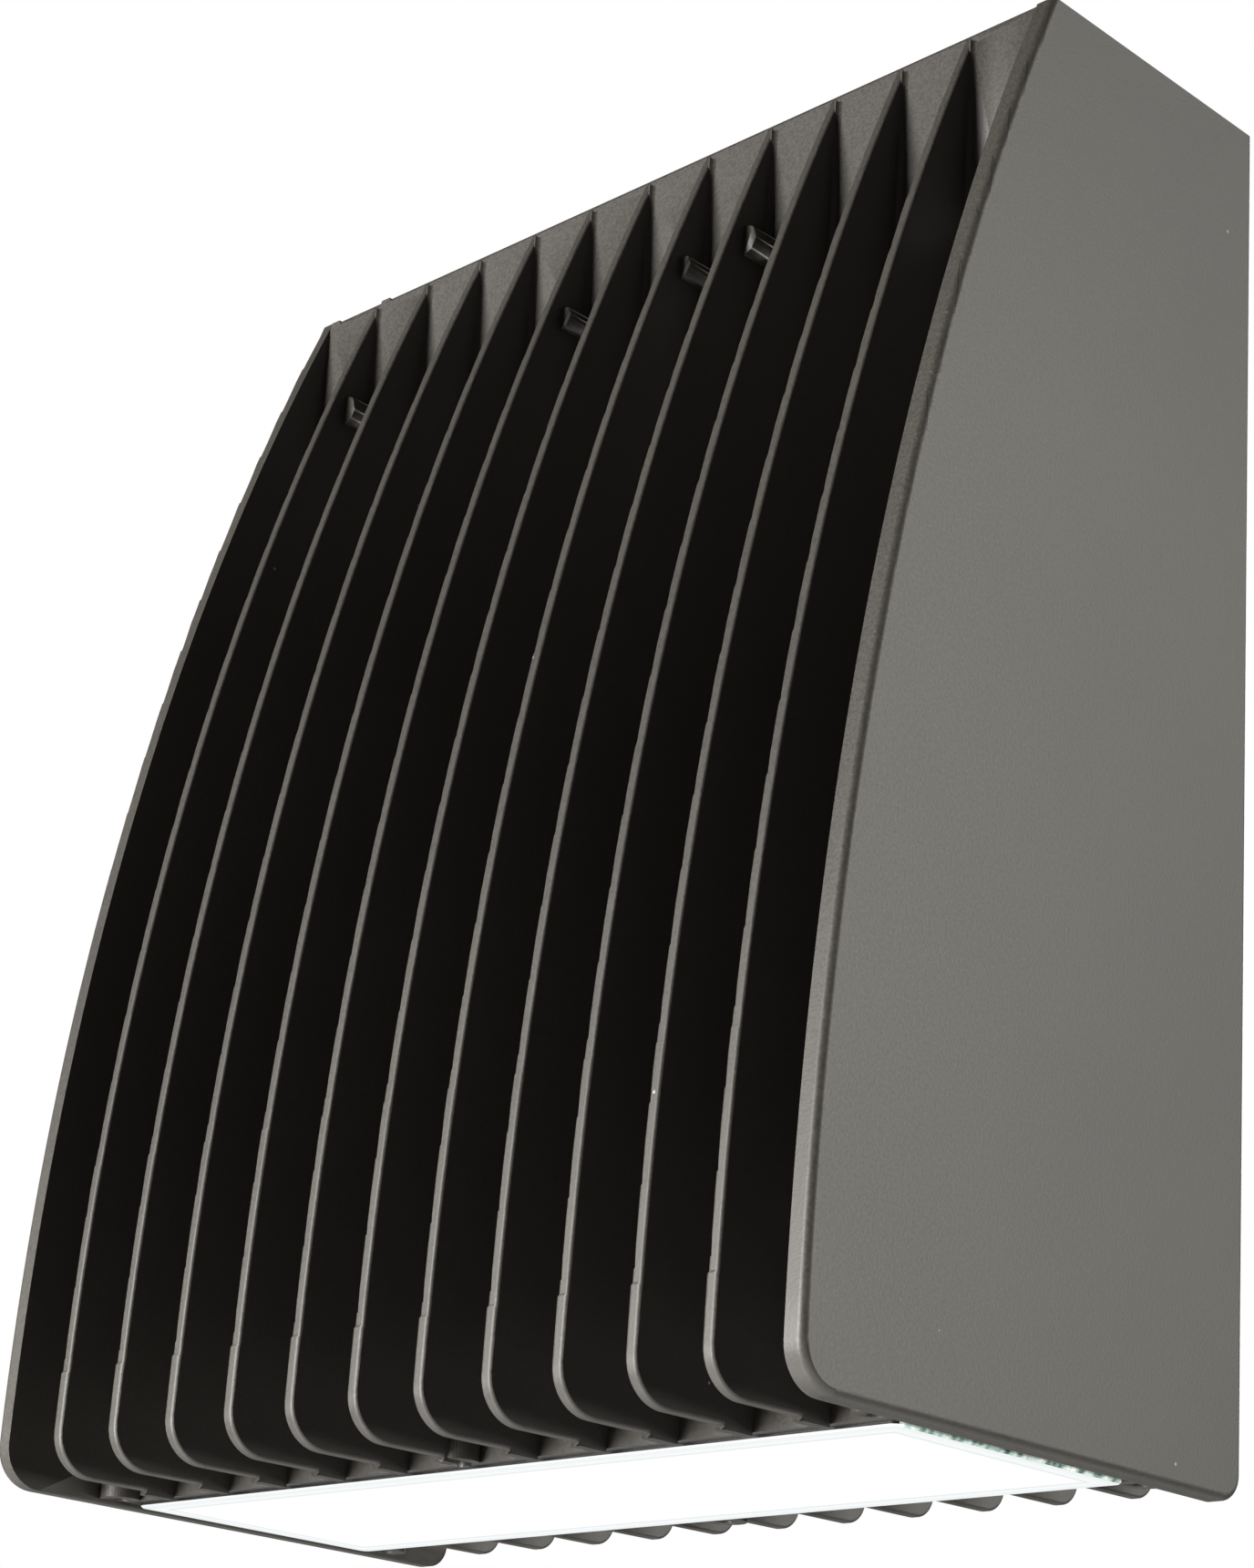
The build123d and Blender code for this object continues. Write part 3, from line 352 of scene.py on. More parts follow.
def ground_glass_edge():
    """The lens's ground edge: pale green glass with small chips, their pale tones painted glints and their
    dark tones painted shade, and a painted glow from the lit lens in its emission."""
    made, tree, shader, coords = new_material("ground_glass_edge")
    chip_mm = 2.2
    crumb_mm = 0.9
    chips = add_node(tree, "ShaderNodeTexVoronoi", {"Vector": coords, "Scale": 1 / (chip_mm * MM)},
                     feature="F1")
    crumbs = add_node(tree, "ShaderNodeTexNoise", {
        "Vector": coords, "Scale": 1 / (crumb_mm * MM), "Detail": 4.0})
    chip_relief_and_glints = add_node(tree, "ShaderNodeMath", {0: chips.outputs["Distance"], 1: crumbs.outputs["Fac"]},
                     operation="MULTIPLY")
    # Pale stops are painted glints on the chips, dark stops painted shade
    tone = add_node(tree, "ShaderNodeValToRGB", {"Fac": chip_relief_and_glints.outputs[0]}, stops=[
        (0.08, linear("30423d")), (0.16, linear("6f8880")), (0.26, linear("a9bdb4")),
        (0.42, linear("c9d8cf")), (0.52, linear("f4f6ea"))])
    tree.links.new(tone.outputs["Color"], shader.inputs["Base Color"])
    # Painted glow: the edge emits its chip tones, though it is no lamp
    tree.links.new(tone.outputs["Color"], shader.inputs["Emission Color"])
    shader.inputs["Emission Strength"].default_value = 0.45
    shader.inputs["Roughness"].default_value = 0.3
    shader.inputs["IOR"].default_value = 1.52
    bump = add_node(tree, "ShaderNodeBump", {
        "Height": chip_relief_and_glints.outputs[0], "Strength": 0.6, "Distance": 0.2 * MM})
    tree.links.new(bump.outputs["Normal"], shader.inputs["Normal"])
    return made


def silicone_rubber(name, dark, light):
    """Silicone rubber, squeezed out and cured: even, with a soft satin skin."""
    return mottled(name, dark, light, 6, 0.8, 0.03, (0.35, 0.5), ior=1.41)[0]


def closed_cell_foam():
    """Closed-cell neoprene foam, cut from sheet: matt black with cut pores as painted shade in the colour,
    drawn at 0.9 mm, coarser than the real ones, so that they show."""
    pore_mm = 0.9
    made, tree, shader, coords = mottled(
        "closed_cell_foam", "161616", "1f1f1e", 12, pore_mm, 0.12, (0.85, 0.95), ior=1.45)[:4]
    pores = add_node(tree, "ShaderNodeTexVoronoi", {"Vector": coords, "Scale": 1 / (pore_mm * MM)})
    # The pores are dark spots of painted shade, without relief of their own
    painted_pore_shade = add_node(tree, "ShaderNodeValToRGB", {"Fac": pores.outputs["Distance"]},
                    stops=[(0.15, linear("0b0b0b")), (0.4, linear("242423"))])
    tree.links.new(painted_pore_shade.outputs["Color"], shader.inputs["Base Color"])
    return made


def moulded_rubber():
    """Compression-moulded rubber: black, slightly dusty, with a satin sheen."""
    return mottled("moulded_rubber", "141414", "1d1c1b", 8, 0.7, 0.03, (0.5, 0.65), ior=1.5)[0]


def zinc_plated_steel():
    """Bright zinc plate on steel: bluish grey metal, a little cloudy, with fine drawing marks."""
    return mottled("zinc_plated_steel", "9fa3a6", "c3c6c8", 5, 0.5, 0.01, (0.24, 0.42), metallic=1.0)[0]


def turned_stainless():
    """Turned stainless steel: brighter and cleaner, with fine rings along the bar."""
    return mottled("turned_stainless", "b4b2ad", "cfcdc8", 4, 0.35, 0.008, (0.18, 0.32), metallic=1.0,
                   stretch=(0.3, 3.0, 3.0))[0]


def green_dyed_zinc():
    """Green dyed zinc plate, as on ground screws: metal that shows through a clear green."""
    return mottled("green_dyed_zinc", "2b6b3d", "3f8a50", 4, 0.5, 0.01, (0.28, 0.42), metallic=1.0)[0]


def moulded_polyamide(name, dark, light):
    """Injection-moulded polyamide: even colour, fine spark-eroded texture, low gloss."""
    return mottled(name, dark, light, 9, 0.45, 0.02, (0.42, 0.55), ior=1.53)[0]


def filled_silicone_pad():
    """Ceramic-filled silicone sheet: chalky grey with coarse filler grains."""
    return mottled("filled_silicone_pad", "8b8f95", "a2a6ab", 3, 0.6, 0.03, (0.7, 0.85), ior=1.45)[0]


def circuit_board(name, mask, track):
    """Solder mask on a circuit board: glossy lacquer with copper tracks that stand out under it."""
    made, tree, shader, coords = mottled(
        name, mask, mask, 5, 0.5, 0.01, (0.22, 0.34), ior=1.55)[:4]
    lane_mm = 3.2
    lanes = add_node(tree, "ShaderNodeTexBrick", {
        "Vector": coords, "Color1": linear(mask), "Color2": linear(track), "Mortar": linear(mask),
        "Scale": 1.0, "Mortar Size": 0.35 * MM, "Brick Width": 9 * MM, "Row Height": lane_mm * MM})
    tree.links.new(lanes.outputs["Color"], shader.inputs["Base Color"])
    return made


def lit_phosphor():
    """Silicone filled with phosphor over the LED chip: lit, warm white."""
    made, tree, shader, coords, tone = mottled(
        "lit_phosphor", "f2dc7a", "f7e79b", 2, 0.4, 0.01, (0.3, 0.4), ior=1.41)[:5]
    tree.links.new(tone, shader.inputs["Emission Color"])
    shader.inputs["Emission Strength"].default_value = 0.7
    return made


def alumina_ceramic():
    """Sintered alumina of the LED packages: chalk white, slightly rough."""
    return mottled("alumina_ceramic", "dedcd5", "efede8", 2, 0.3, 0.01, (0.45, 0.6), ior=1.76)[0]


def bright_anodised_sheet():
    """Bright anodised aluminium reflector sheet: near mirror, with a faint rolling grain."""
    return mottled("bright_anodised_sheet", "c9ccce", "e3e5e6", 14, 0.6, 0.005, (0.10, 0.2), metallic=1.0,
                   stretch=(0.15, 1, 1))[0]


def mill_finish_sheet():
    """Mill finish aluminium sheet: grey metal with a rolling grain along its length."""
    return mottled("mill_finish_sheet", "a3a6a8", "bdbfc0", 10, 0.4, 0.012, (0.3, 0.45), metallic=1.0,
                   stretch=(0.08, 1, 1))[0]


def white_enamel():
    """Baked white enamel on folded steel: slight orange peel and a soft gloss."""
    return mottled("white_enamel", "d9dad6", "e6e6e2", 30, 1.4, 0.03, (0.25, 0.36), ior=1.52)[0]


def ferrite_and_tape():
    """Ferrite core with its wound tape: dark grey, dull, with bands of tape."""
    made, tree, shader, coords, tone = mottled(
        "ferrite_and_tape", "1c1c1d", "29292a", 4, 0.5, 0.03, (0.5, 0.7), ior=1.6)[:5]
    tape_mm = 12
    bands = add_node(tree, "ShaderNodeTexWave", {
        "Vector": coords, "Scale": 1 / (tape_mm * MM), "Distortion": 0.4}, bands_direction="Z")
    taped = add_node(tree, "ShaderNodeMix", {
        "Factor": bands.outputs["Fac"], "A": tone, "B": linear("3a3620")}, data_type="RGBA")
    tree.links.new(taped.outputs["Result"], shader.inputs["Base Color"])
    return made


def shrink_sleeve():
    """PVC shrink sleeve on the capacitors: glossy black."""
    return mottled("shrink_sleeve", "15161a", "20222a", 6, 0.8, 0.01, (0.16, 0.28), ior=1.54)[0]


def wire_insulation(name, dark, light):
    """Extruded PVC insulation: even colour, low gloss, faint waviness along the wire."""
    return mottled(name, dark, light, 12, 0.7, 0.015, (0.38, 0.5), ior=1.54)[0]


finishes = {
    "powder_coat": bronze_powder_coat(),
    "lens_glass": lit_frosted_glass(),
    "glass_edge": ground_glass_edge(),
    "silicone_black": silicone_rubber("black_silicone_bead", "0c0c0c", "161616"),
    "silicone_grey": silicone_rubber("grey_silicone_foam", "6e7072", "828486"),
    "foam_black": closed_cell_foam(),
    "rubber_black": moulded_rubber(),
    "zinc_steel": zinc_plated_steel(),
    "stainless_steel": turned_stainless(),
    "green_screw": green_dyed_zinc(),
    "terminal_white": moulded_polyamide("white_polyamide", "cfccc2", "dedbd2"),
    "connector_white": moulded_polyamide("ivory_polyamide", "d6d1c0", "e2ddcf"),
    "clip_black": moulded_polyamide("black_polyamide", "131314", "1c1c1d"),
    "thermal_pad": filled_silicone_pad(),
    "board_white": circuit_board("white_solder_mask", "dfe0dc", "cfd1cc"),
    "board_green": circuit_board("green_solder_mask", "1d5a32", "2b7444"),
    "led_phosphor": lit_phosphor(),
    "led_ceramic": alumina_ceramic(),
    "reflector_aluminium": bright_anodised_sheet(),
    "driver_aluminium": mill_finish_sheet(),
    "driver_white": white_enamel(),
    "ferrite_black": ferrite_and_tape(),
    "capacitor_black": shrink_sleeve(),
    "wire_red": wire_insulation("red_wire_insulation", "8e1a18", "a3211e"),
    "wire_black": wire_insulation("black_wire_insulation", "121213", "1b1b1c"),
    "wire_white": wire_insulation("white_wire_insulation", "d3d3cf", "e0e0dc"),
    "wire_green": wire_insulation("green_wire_insulation", "1d6b37", "267d43"),
}

slot_of = {part["node"]: part["material_slot"] for part in frame["record"]["subparts"]}
for node, carried in frame["nodes"].items():
    carried.data.materials.clear()
    carried.data.materials.append(finishes[slot_of[node]])


# ---------------------------------------------------------------- the housing's casting
lower_step_height = 20.3 * MM
upper_step_height = 61.4 * MM
step_run = 0.5 * MM
upper_step_rise = 0.15 * MM
lower_step_rise = 0.30 * MM
edge_spread = 0.05 * MM
edge_depth = 1.2 * MM

# How far a face's normal may turn and still count as a blade's side, its front strip or part of the front
side_facing = 0.98
strip_turn = 0.05
front_facing = 0.97


def profile_depth(y, z):
    """How far a point lies inside the fins' front profile, and the way out from there."""
    if z >= arc_centre_z:
        out = Vector((0, y - arc_centre_y, z - arc_centre_z))
        return arc_radius - out.length, out.normalized()
    out = Vector((0, y - housing_low.y - corner_radius, z - arc_centre_z))
    return corner_radius - out.length, out.normalized()


def step_rise(height):
    """How proud the fins' front edge stands at a height: two casting steps, each with a short run-out."""
    rise = 0.0
    for step, amount in ((lower_step_height, lower_step_rise), (upper_step_height, upper_step_rise)):
        rise += amount * min(max((step - height) / step_run + 0.5, 0.0), 1.0)
    return rise


def raise_fin_fronts(shape):
    """Cut the casting at the steps and move the fins' front edges out below them."""
    least_forward = 0.02
    for step in (lower_step_height, upper_step_height):
        for run in (-step_run / 2, step_run / 2):
            everything = list(shape.verts) + list(shape.edges) + list(shape.faces)
            bmesh.ops.bisect_plane(shape, geom=everything, dist=merge_gap,
                                   plane_co=(0, 0, panel_bottom + step + run), plane_no=(0, 0, 1))
    for vertex in shape.verts:
        fin = round(vertex.co.x / fin_pitch)
        aside = vertex.co.x - fin * fin_pitch
        if abs(fin) > outer_fin or abs(aside) > fin_thickness / 2 + merge_gap:
            continue
        inside, way_out = profile_depth(vertex.co.y, vertex.co.z)
        forward = max(-way_out.y, 0.0)
        near_steps = vertex.co.z < panel_bottom + 2 * upper_step_height
        if inside < edge_depth and forward > least_forward and near_steps:
            rise = step_rise(vertex.co.z - panel_bottom) * forward ** 2
            vertex.co += way_out * rise
            if abs(aside) > fin_thickness / 4:
                vertex.co.x += math.copysign(edge_spread * rise / lower_step_rise, aside)


def add_top_pads(shape):
    """Two low pads that the mould leaves on the top's front edge, beside the left panel and the first
    fin."""
    pad_size = Vector((3.4, 5.0, 1.1)) * MM
    pad_rise = 0.45 * MM
    pad_setback = 0.05 * MM
    pad_taper = 0.75
    top_z = housing_high.z - 0.8 * MM
    for left_x in (housing_low.x + panel_thickness, -outer_fin * fin_pitch + fin_thickness / 2):
        centre = Vector((left_x + pad_size.x / 2, bay_wall_y + pad_size.y / 2 + pad_setback,
                         top_z + pad_rise - pad_size.z / 2))
        for vertex in bmesh.ops.create_cube(shape, size=1.0)["verts"]:
            taper = pad_taper if vertex.co.z > 0 else 1.0
            vertex.co = centre + Vector((vertex.co.x * pad_size.x * taper, vertex.co.y * pad_size.y,
                                         vertex.co.z * pad_size.z))


def add_corner_coves(shape):
    """The casting's fillets where the bay's wall meets each fin's right side, from the shelf to the top."""
    cove = 0.9 * MM
    sunk = 0.3 * MM
    foot_z = panel_bottom + 50 * MM
    head_z = housing_high.z - 2.5 * MM
    for fin in range(-outer_fin, outer_fin + 1):
        corner_x = fin * fin_pitch + fin_thickness / 2
        outline = ((corner_x - sunk, bay_wall_y + sunk), (corner_x - sunk, bay_wall_y - cove),
                   (corner_x, bay_wall_y - cove), (corner_x + 0.3 * cove, bay_wall_y - 0.3 * cove),
                   (corner_x + cove, bay_wall_y), (corner_x + cove, bay_wall_y + sunk))
        foot = [shape.verts.new((x, y, foot_z)) for x, y in outline]
        head = [shape.verts.new((x, y, head_z)) for x, y in outline]
        made = [shape.faces.new(list(reversed(foot))), shape.faces.new(head)]
        for here in range(len(outline)):
            after = (here + 1) % len(outline)
            made.append(shape.faces.new((foot[here], foot[after], head[after], head[here])))
        bmesh.ops.recalc_face_normals(shape, faces=made)


def weighted_normals(made):
    """Let the large flat faces set the shading, so that the small edge radii don't bleed into them."""
    modifier = made.modifiers.new("weighted", "WEIGHTED_NORMAL")
    modifier.mode = "FACE_AREA_WITH_ANGLE"
    modifier.weight = 100
    modifier.keep_sharp = True
    mesh = evaluated_mesh(made)
    made.modifiers.clear()
    made.data = mesh


def blade_at(x):
    """The middle, half thickness, edge radius and rounded sides of the blade nearest to an X."""
    blades = [(fin * fin_pitch, fin_thickness / 2, fin_edge_radius, (-1, 1))
              for fin in range(-outer_fin, outer_fin + 1)]
    panel_centre = housing_high.x - panel_thickness / 2
    blades += [(side * panel_centre, panel_thickness / 2, panel_edge_radius, (side,)) for side in (-1, 1)]
    return min(blades, key=lambda blade: abs(x - blade[0]))


def edge_offset(point, blade):
    """How far a point lies across and out from the middle of a blade's edge radius, and the way out."""
    centre_x, half, radius, rounded = blade
    depth, outward = profile_depth(point.y, point.z)
    aside = point.x - centre_x
    across = max(abs(aside) - half + radius, 0.0) if math.copysign(1, aside) in rounded else 0.0
    return math.copysign(across, aside), radius - depth, outward


def round_blade_edges(shape):
    """Cut the blades' edges every few millimetres and lay them on their true arcs and radii."""
    cut_gap = 6 * MM
    rear_limit_y = -60 * MM
    radius_slack = 0.3 * MM
    for cut in range(1, int((housing_high.z - arc_centre_z) / cut_gap)):
        edges = [face for face in shape.faces
                 if profile_depth(*face.calc_center_median().yz)[0] < panel_edge_radius
                 and abs(face.normal.x) < side_facing and face.calc_center_median().y < rear_limit_y]
        geometry = list({part for face in edges for part in (*face.verts, *face.edges)}) + edges
        bmesh.ops.bisect_plane(shape, geom=geometry, dist=merge_gap,
                               plane_co=(0, 0, arc_centre_z + cut * cut_gap), plane_no=(0, 0, 1))
    for vertex in shape.verts:
        blade = blade_at(vertex.co.x)
        if vertex.co.z < arc_centre_z or abs(vertex.co.x - blade[0]) > blade[1] + merge_gap:
            continue
        across, up, outward = edge_offset(vertex.co, blade)
        reach = math.hypot(across, up)
        if up > merge_gap and blade[2] / 2 < reach < blade[2] + radius_slack:
            growth = blade[2] / reach
            vertex.co += outward * up * (growth - 1)
            vertex.co.x += across * (growth - 1)


def shade_blade_edges(mesh):
    """Give the blades' edges the true normals of their radii and their sides flat ones, so that the
    shading of the edges doesn't bleed into the sides."""
    normals = [corner.vector.copy() for corner in mesh.corner_normals]
    for polygon in mesh.polygons:
        blade = blade_at(polygon.center.x)
        inside, way_out = profile_depth(polygon.center.y, polygon.center.z)
        if abs(polygon.center.x - blade[0]) > blade[1] + edge_spread or inside < -edge_depth:
            continue
        facing_side = abs(polygon.normal.x)
        for loop in polygon.loop_indices:
            if facing_side >= side_facing:
                normals[loop] = Vector((math.copysign(1, polygon.normal.x), 0, 0))
                continue
            if inside > blade[2] or (polygon.center.z < arc_centre_z and way_out.y > 0):
                continue
            if facing_side < strip_turn and polygon.normal.dot(way_out) < front_facing:
                continue
            across, up, outward = edge_offset(mesh.vertices[mesh.loops[loop].vertex_index].co, blade)
            across = 0.0 if facing_side < strip_turn else across
            if abs(across) + max(up, 0) > 0:
                normals[loop] = (Vector((across, 0, 0)) + outward * max(up, 0.0)).normalized()
    mesh.normals_split_custom_set(normals)


def dress_casting():
    """The finned casting, with the casting steps, the pads on its top and the coves in its corners."""
    shape = merged("finned_housing")
    round_blade_edges(shape)
    raise_fin_fronts(shape)
    add_top_pads(shape)
    add_corner_coves(shape)
    mesh = bpy.data.meshes.new("finned_casting")
    shape.to_mesh(mesh)
    shape.free()
    mesh.materials.append(finishes["powder_coat"])
    smooth_by_angle(mesh, 30)
    casting = as_object("finned_casting", mesh)
    weighted_normals(casting)
    shade_blade_edges(casting.data)
    stand_in(casting, "finned_housing")


dress_casting()


# ---------------------------------------------------------------- the lens
def build_lens():
    """The glass lens: a slab with rounded corners and ground arrises, lit faces and a green edge.

    Above its lower arris the front edge carries the silicone's finish, for the bead squeezed over it.
    """
    arris = 0.35 * MM
    lens_corner = 2 * MM
    corner_steps = 8
    ground_edge, bead = 1, 2
    shape = bmesh.new()
    rings = []
    levels = ((lens_low.z, arris), (lens_low.z + arris, 0), (lens_high.z - arris, 0), (lens_high.z, arris))
    for level, inset in levels:
        ring = []
        radius = lens_corner - inset
        for quarter, (side_x, side_y) in enumerate(((1, 1), (-1, 1), (-1, -1), (1, -1))):
            centre_x = (lens_high.x if side_x > 0 else lens_low.x) - side_x * lens_corner
            centre_y = (lens_high.y if side_y > 0 else lens_low.y) - side_y * lens_corner
            for step in range(corner_steps + 1):
                turn = math.pi / 2 * (quarter + step / corner_steps)
                place = (centre_x + radius * math.cos(turn), centre_y + radius * math.sin(turn), level)
                ring.append(shape.verts.new(place))
        rings.append(ring)
    for lower, upper in zip(rings, rings[1:]):
        for here in range(len(lower)):
            after = (here + 1) % len(lower)
            side = shape.faces.new((lower[here], lower[after], upper[after], upper[here]))
            middle = side.calc_center_median()
            at_front = middle.y < lens_low.y + lens_corner / 2
            if not at_front:
                side.material_index = ground_edge
            elif middle.z > lens_low.z + arris:
                side.material_index = bead
    shape.faces.new(list(reversed(rings[0])))
    shape.faces.new(rings[-1])
    mesh = bpy.data.meshes.new("lens_slab")
    shape.to_mesh(mesh)
    shape.free()
    for finish in ("lens_glass", "glass_edge", "silicone_black"):
        mesh.materials.append(finishes[finish])
    smooth_by_angle(mesh, 30)
    stand_in(as_object("lens_slab", mesh), "glass_lens")


build_lens()


# ---------------------------------------------------------------- screws and LED packages
def new_tree(name, sockets):
    """An empty geometry tree with named inputs; gives it with its input node and the inputs'
    identifiers."""
    tree = bpy.data.node_groups.new(name, "GeometryNodeTree")
    tree.interface.new_socket(name="Geometry", in_out="OUTPUT", socket_type="NodeSocketGeometry")
    tree.interface.new_socket(name="Geometry", in_out="INPUT", socket_type="NodeSocketGeometry")
    identifiers = {}
    for label, kind in sockets.items():
        socket = tree.interface.new_socket(name=label, in_out="INPUT", socket_type=kind)
        identifiers[label] = socket.identifier
    return tree, tree.nodes.new("NodeGroupInput"), identifiers


def screw_tree():
    """Screws on a set of points: a head and a shank at each, facing one way, each turned at random about
    its own axis."""
    tree, given, identifiers = new_tree("seated_screws", {
        "Head": "NodeSocketObject", "Shank": "NodeSocketObject", "Head size": "NodeSocketVector",
        "Shank size": "NodeSocketVector", "Facing": "NodeSocketRotation", "Finish": "NodeSocketMaterial"})
    spin = add_node(tree, "FunctionNodeRandomValue", {"Min": 0.0, "Max": math.tau, "Seed": 7},
                    data_type="FLOAT")
    turn = add_node(tree, "FunctionNodeAxisAngleToRotation", {
        "Axis": (0, 0, 1), "Angle": spin.outputs["Value"]})
    facing = add_node(tree, "FunctionNodeRotateRotation", {
        "Rotation": given.outputs["Facing"], "Rotate By": turn.outputs["Rotation"]}, rotation_space="LOCAL")
    joined = add_node(tree, "GeometryNodeJoinGeometry")
    for label in ("Head", "Shank"):
        shape = add_node(tree, "GeometryNodeObjectInfo", {"Object": given.outputs[label]})
        placed = add_node(tree, "GeometryNodeInstanceOnPoints", {
            "Points": given.outputs["Geometry"], "Instance": shape.outputs["Geometry"],
            "Rotation": facing.outputs["Rotation"], "Scale": given.outputs[label + " size"]})
        tree.links.new(placed.outputs["Instances"], joined.inputs["Geometry"])
    real = add_node(tree, "GeometryNodeRealizeInstances", {"Geometry": joined.outputs["Geometry"]})
    finished = add_node(tree, "GeometryNodeSetMaterial", {"Geometry": real.outputs["Geometry"],
                                                          "Material": given.outputs["Finish"]})
    add_node(tree, "NodeGroupOutput", {"Geometry": finished.outputs["Geometry"]})
    return tree, identifiers


def grid_tree():
    """One shape repeated over a grid of columns and rows."""
    tree, given, identifiers = new_tree("package_grid", {
        "Package": "NodeSocketObject", "Columns": "NodeSocketInt", "Rows": "NodeSocketInt",
        "Length": "NodeSocketFloat", "Width": "NodeSocketFloat", "Place": "NodeSocketVector",
        "Finish": "NodeSocketMaterial"})
    grid = add_node(tree, "GeometryNodeMeshGrid", {
        "Size X": given.outputs["Length"], "Size Y": given.outputs["Width"],
        "Vertices X": given.outputs["Columns"], "Vertices Y": given.outputs["Rows"]})
    there = add_node(tree, "GeometryNodeTransform", {"Geometry": grid.outputs["Mesh"],
                                                     "Translation": given.outputs["Place"]})
    shape = add_node(tree, "GeometryNodeObjectInfo", {"Object": given.outputs["Package"]})
    placed = add_node(tree, "GeometryNodeInstanceOnPoints", {"Points": there.outputs["Geometry"],
                                                             "Instance": shape.outputs["Geometry"]})
    real = add_node(tree, "GeometryNodeRealizeInstances", {"Geometry": placed.outputs["Instances"]})
    finished = add_node(tree, "GeometryNodeSetMaterial", {"Geometry": real.outputs["Geometry"],
                                                          "Material": given.outputs["Finish"]})
    add_node(tree, "NodeGroupOutput", {"Geometry": finished.outputs["Geometry"]})
    return tree, identifiers


def grown(name, tree, identifiers, values, points=()):
    """The plain mesh that a geometry tree makes from points and named values."""
    mesh = bpy.data.meshes.new(name)
    mesh.from_pydata([tuple(point) for point in points], [], [])
    seed = as_object(name + "_points", mesh)
    modifier = seed.modifiers.new(name, "NODES")
    modifier.node_group = tree
    for label, value in values.items():
        modifier[identifiers[label]] = value
    made = evaluated_mesh(seed)
    bpy.data.objects.remove(seed)
    return made


def turned_shape(profile, steps=28):
    """A closed shape turned about Z, from a profile of (radius, height) points that starts and ends on the
    axis."""
    shape = bmesh.new()
    rings = []
    for radius, height in profile:
        if radius == 0:
            rings.append([shape.verts.new((0, 0, height))])
            continue
        turns = [math.tau * step / steps for step in range(steps)]
        rings.append([shape.verts.new((radius * math.cos(turn), radius * math.sin(turn), height))
                      for turn in turns])
    for lower, upper in zip(rings, rings[1:]):
        for here in range(steps):
            after = (here + 1) % steps
            corners = [lower[here % len(lower)], lower[after % len(lower)],
                       upper[after % len(upper)], upper[here % len(upper)]]
            shape.faces.new(list(dict.fromkeys(corners)))
    bmesh.ops.recalc_face_normals(shape, faces=shape.faces)
    return shape


def object_from(name, shape):
    """An object that holds a shape built in code."""
    mesh = bpy.data.meshes.new(name)
    shape.to_mesh(mesh)
    shape.free()
    return as_object(name, mesh)


def cut_away(made, cutter):
    """Subtract one object from another and drop the cutter."""
    modifier = made.modifiers.new("cut", "BOOLEAN")
    modifier.operation = "DIFFERENCE"
    modifier.solver = "EXACT"
    modifier.object = cutter
    mesh = evaluated_mesh(made)
    made.modifiers.clear()
    made.data = mesh
    bpy.data.objects.remove(cutter)


def pan_head():
    """A pan head of radius 1 and height 1 with a cross recess, its underside on the XY plane."""
    made = object_from("pan_head", turned_shape([
        (0, 0), (1, 0), (1, 0.35), (0.93, 0.62), (0.76, 0.84), (0.5, 0.96), (0.22, 1.0), (0, 1.0)]))
    arm, width, depth = 0.58, 0.17, 0.7
    for turned in (False, True):
        bar = bmesh.new()
        for vertex in bmesh.ops.create_cube(bar, size=1.0)["verts"]:
            narrow = 0.45 if vertex.co.z < 0 else 1.0
            along, across = vertex.co.x * 2 * arm * narrow, vertex.co.y * width
            high = vertex.co.z * depth + 1.02
            vertex.co = (-across, along, high) if turned else (along, across, high)
        cut_away(made, object_from("recess_bar", bar))
    return made


def hex_head():
    """A hexagon head of radius 1 and height 1 on a washer face, with a driver slot."""
    made = object_from("hex_head", turned_shape([(0, 0), (1.0, 0), (1.0, 0.18), (0, 0.18)], steps=36))
    hexagon = turned_shape([(0, 0.1), (0.86, 0.1), (0.86, 0.88), (0.76, 1.0), (0, 1.0)], steps=6)
    body = object_from("hexagon", hexagon)
    slot = bmesh.new()
    for vertex in bmesh.ops.create_cube(slot, size=1.0)["verts"]:
        vertex.co = (vertex.co.x * 2.4, vertex.co.y * 0.2, vertex.co.z * 0.5 + 1.05)
    cut_away(body, object_from("driver_slot", slot))
    shape = bmesh.new()
    for part in (made, body):
        shape.from_mesh(part.data)
    bpy.data.objects.remove(body)
    shape.to_mesh(made.data)
    shape.free()
    return made


def threaded_shank():
    """A shank of radius 1 that runs down from the XY plane to depth 1, with thread crests."""
    crests = 9
    profile = [(0, 0.02), (0.86, 0.02)]
    for crest in range(crests):
        profile.append((0.84, -(crest + 0.1) / crests * 0.94))
        profile.append((1.0, -(crest + 0.5) / crests * 0.94))
        profile.append((0.84, -(crest + 0.9) / crests * 0.94))
    profile += [(0.6, -1.0), (0, -1.0)]
    return object_from("threaded_shank", turned_shape(profile, steps=16))


# Which way a head faces, as the turn that takes +Z there
faces_down = (math.pi, 0, 0)
faces_front = (math.pi / 2, 0, 0)
faces_rear = (-math.pi / 2, 0, 0)


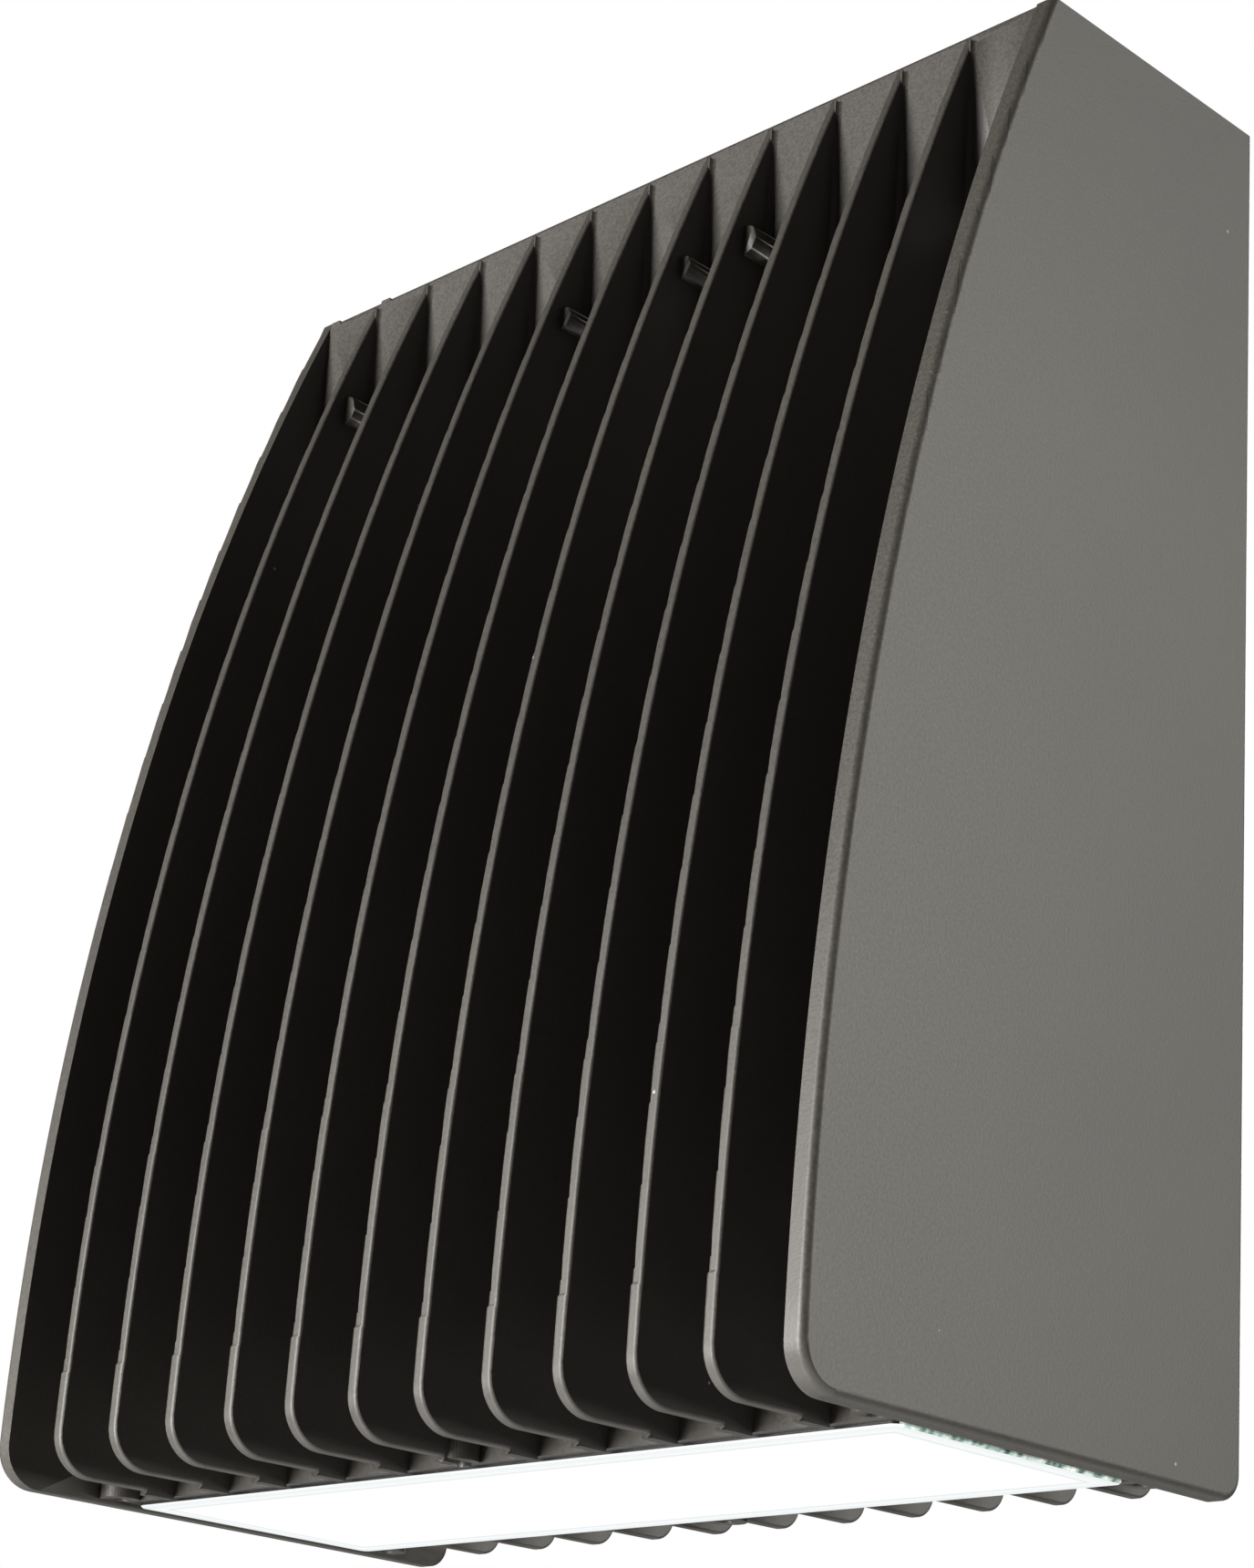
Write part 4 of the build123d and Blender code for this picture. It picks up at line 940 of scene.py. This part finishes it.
def seat_screws():
    """Each set of screws, seated where the frame has it, with the real head's form."""
    tree, identifiers = screw_tree()
    heads = {"pan": pan_head(), "hex": hex_head()}
    shank = threaded_shank()
    sets = (
        ("led_board_screws", "pan", faces_down, 1.8, 1.5),
        ("driver_screws", "pan", faces_rear, 2.6, 2.0),
        ("surge_screws", "pan", faces_rear, 2.0, 1.5),
        ("block_screws", "pan", faces_front, 1.8, 1.5),
        ("clamp_screws", "pan", faces_front, 1.5, 0.5),
        ("ground_screw", "hex", faces_front, 4.5, 2.0),
    )
    for node, form, facing, head_height, shank_radius in sets:
        seats = []
        for low, high in separate_boxes(node):
            middle = (low + high) / 2
            head_radius = (high.x - low.x) / 2
            length = high.z - low.z if facing is faces_down else high.y - low.y
            if facing is faces_down:
                seats.append((middle.x, middle.y, low.z + head_height * MM))
            elif facing is faces_front:
                seats.append((middle.x, low.y + head_height * MM, middle.z))
            else:
                seats.append((middle.x, high.y - head_height * MM, middle.z))
        shank_length = max(length - head_height * MM, 0.2 * MM)
        mesh = grown(node + "_set", tree, identifiers, {
            "Head": heads[form], "Shank": shank, "Head size": (head_radius, head_radius, head_height * MM),
            "Shank size": (shank_radius * MM, shank_radius * MM, shank_length),
            "Facing": facing, "Finish": finishes[slot_of[node]]}, seats)
        smooth_by_angle(mesh, 35)
        stand_in(as_object(node + "_set", mesh), node)
    for prototype in (*heads.values(), shank):
        bpy.data.objects.remove(prototype)


seat_screws()


def led_base():
    """A ceramic package: a square body with a rim round the well of the chip."""
    shape = bmesh.new()
    half, height, well = 1.75 * MM, 0.7 * MM, 0.2 * MM
    for vertex in bmesh.ops.create_cube(shape, size=1.0)["verts"]:
        vertex.co = (vertex.co.x * 2 * half, vertex.co.y * 2 * half, (vertex.co.z - 0.5) * height)
    shape.normal_update()
    lit_face = [face for face in shape.faces if face.normal.z < -0.5]
    bmesh.ops.inset_region(shape, faces=lit_face, thickness=0.35 * MM, depth=0)
    bmesh.ops.inset_region(shape, faces=lit_face, thickness=0.1 * MM, depth=-well)
    bmesh.ops.recalc_face_normals(shape, faces=shape.faces)
    return object_from("ceramic_base", shape)


def led_dome():
    """The phosphor in the well: a low dome that bulges down."""
    return object_from("phosphor_dome", turned_shape(
        [(0, -0.3 * MM), (1.15 * MM, -0.3 * MM), (1.15 * MM, -0.52 * MM), (0.8 * MM, -0.62 * MM),
         (0.4 * MM, -0.67 * MM), (0, -0.69 * MM)], steps=20))


def set_out_packages():
    """Nine by two LED packages on the board, each a ceramic base and a phosphor dome."""
    tree, identifiers = grid_tree()
    low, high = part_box("led_packages")
    package = 3.5 * MM
    for name, prototype, finish in (("led_package_bases", led_base(), "led_ceramic"),
                                    ("led_phosphor_domes", led_dome(), "led_phosphor")):
        mesh = grown(name, tree, identifiers, {
            "Package": prototype, "Columns": 9, "Rows": 2, "Length": high.x - low.x - package,
            "Width": high.y - low.y - package,
            "Place": ((low.x + high.x) / 2, (low.y + high.y) / 2, high.z),
            "Finish": finishes[finish]})
        smooth_by_angle(mesh, 35)
        stand_in(as_object(name, mesh), "led_packages")
        bpy.data.objects.remove(prototype)


set_out_packages()


# ---------------------------------------------------------------- parts that keep their shape
def dress(node, name):
    """A CAD node's own shape, joined and shaded smooth between its real corners."""
    shape = merged(node)
    mesh = bpy.data.meshes.new(name)
    shape.to_mesh(mesh)
    shape.free()
    mesh.materials.append(finishes[slot_of[node]])
    smooth_by_angle(mesh, 30)
    dressed = as_object(name, mesh)
    weighted_normals(dressed)
    stand_in(dressed, node)


for node, name in (("back_box", "back_box_casting"), ("driver_cover", "driver_cover_shell"),
                   ("driver_base", "driver_base_plate"), ("surge_protector", "surge_protector_case"),
                   ("line_plug", "line_plug_body"), ("plug_clip", "plug_clip_arms"),
                   ("reflector", "reflector_sheet"), ("terminal_block", "terminal_block_body"),
                   ("led_board", "led_board_plate"), ("thermal_pad", "thermal_pad_sheet")):
    dress(node, name)
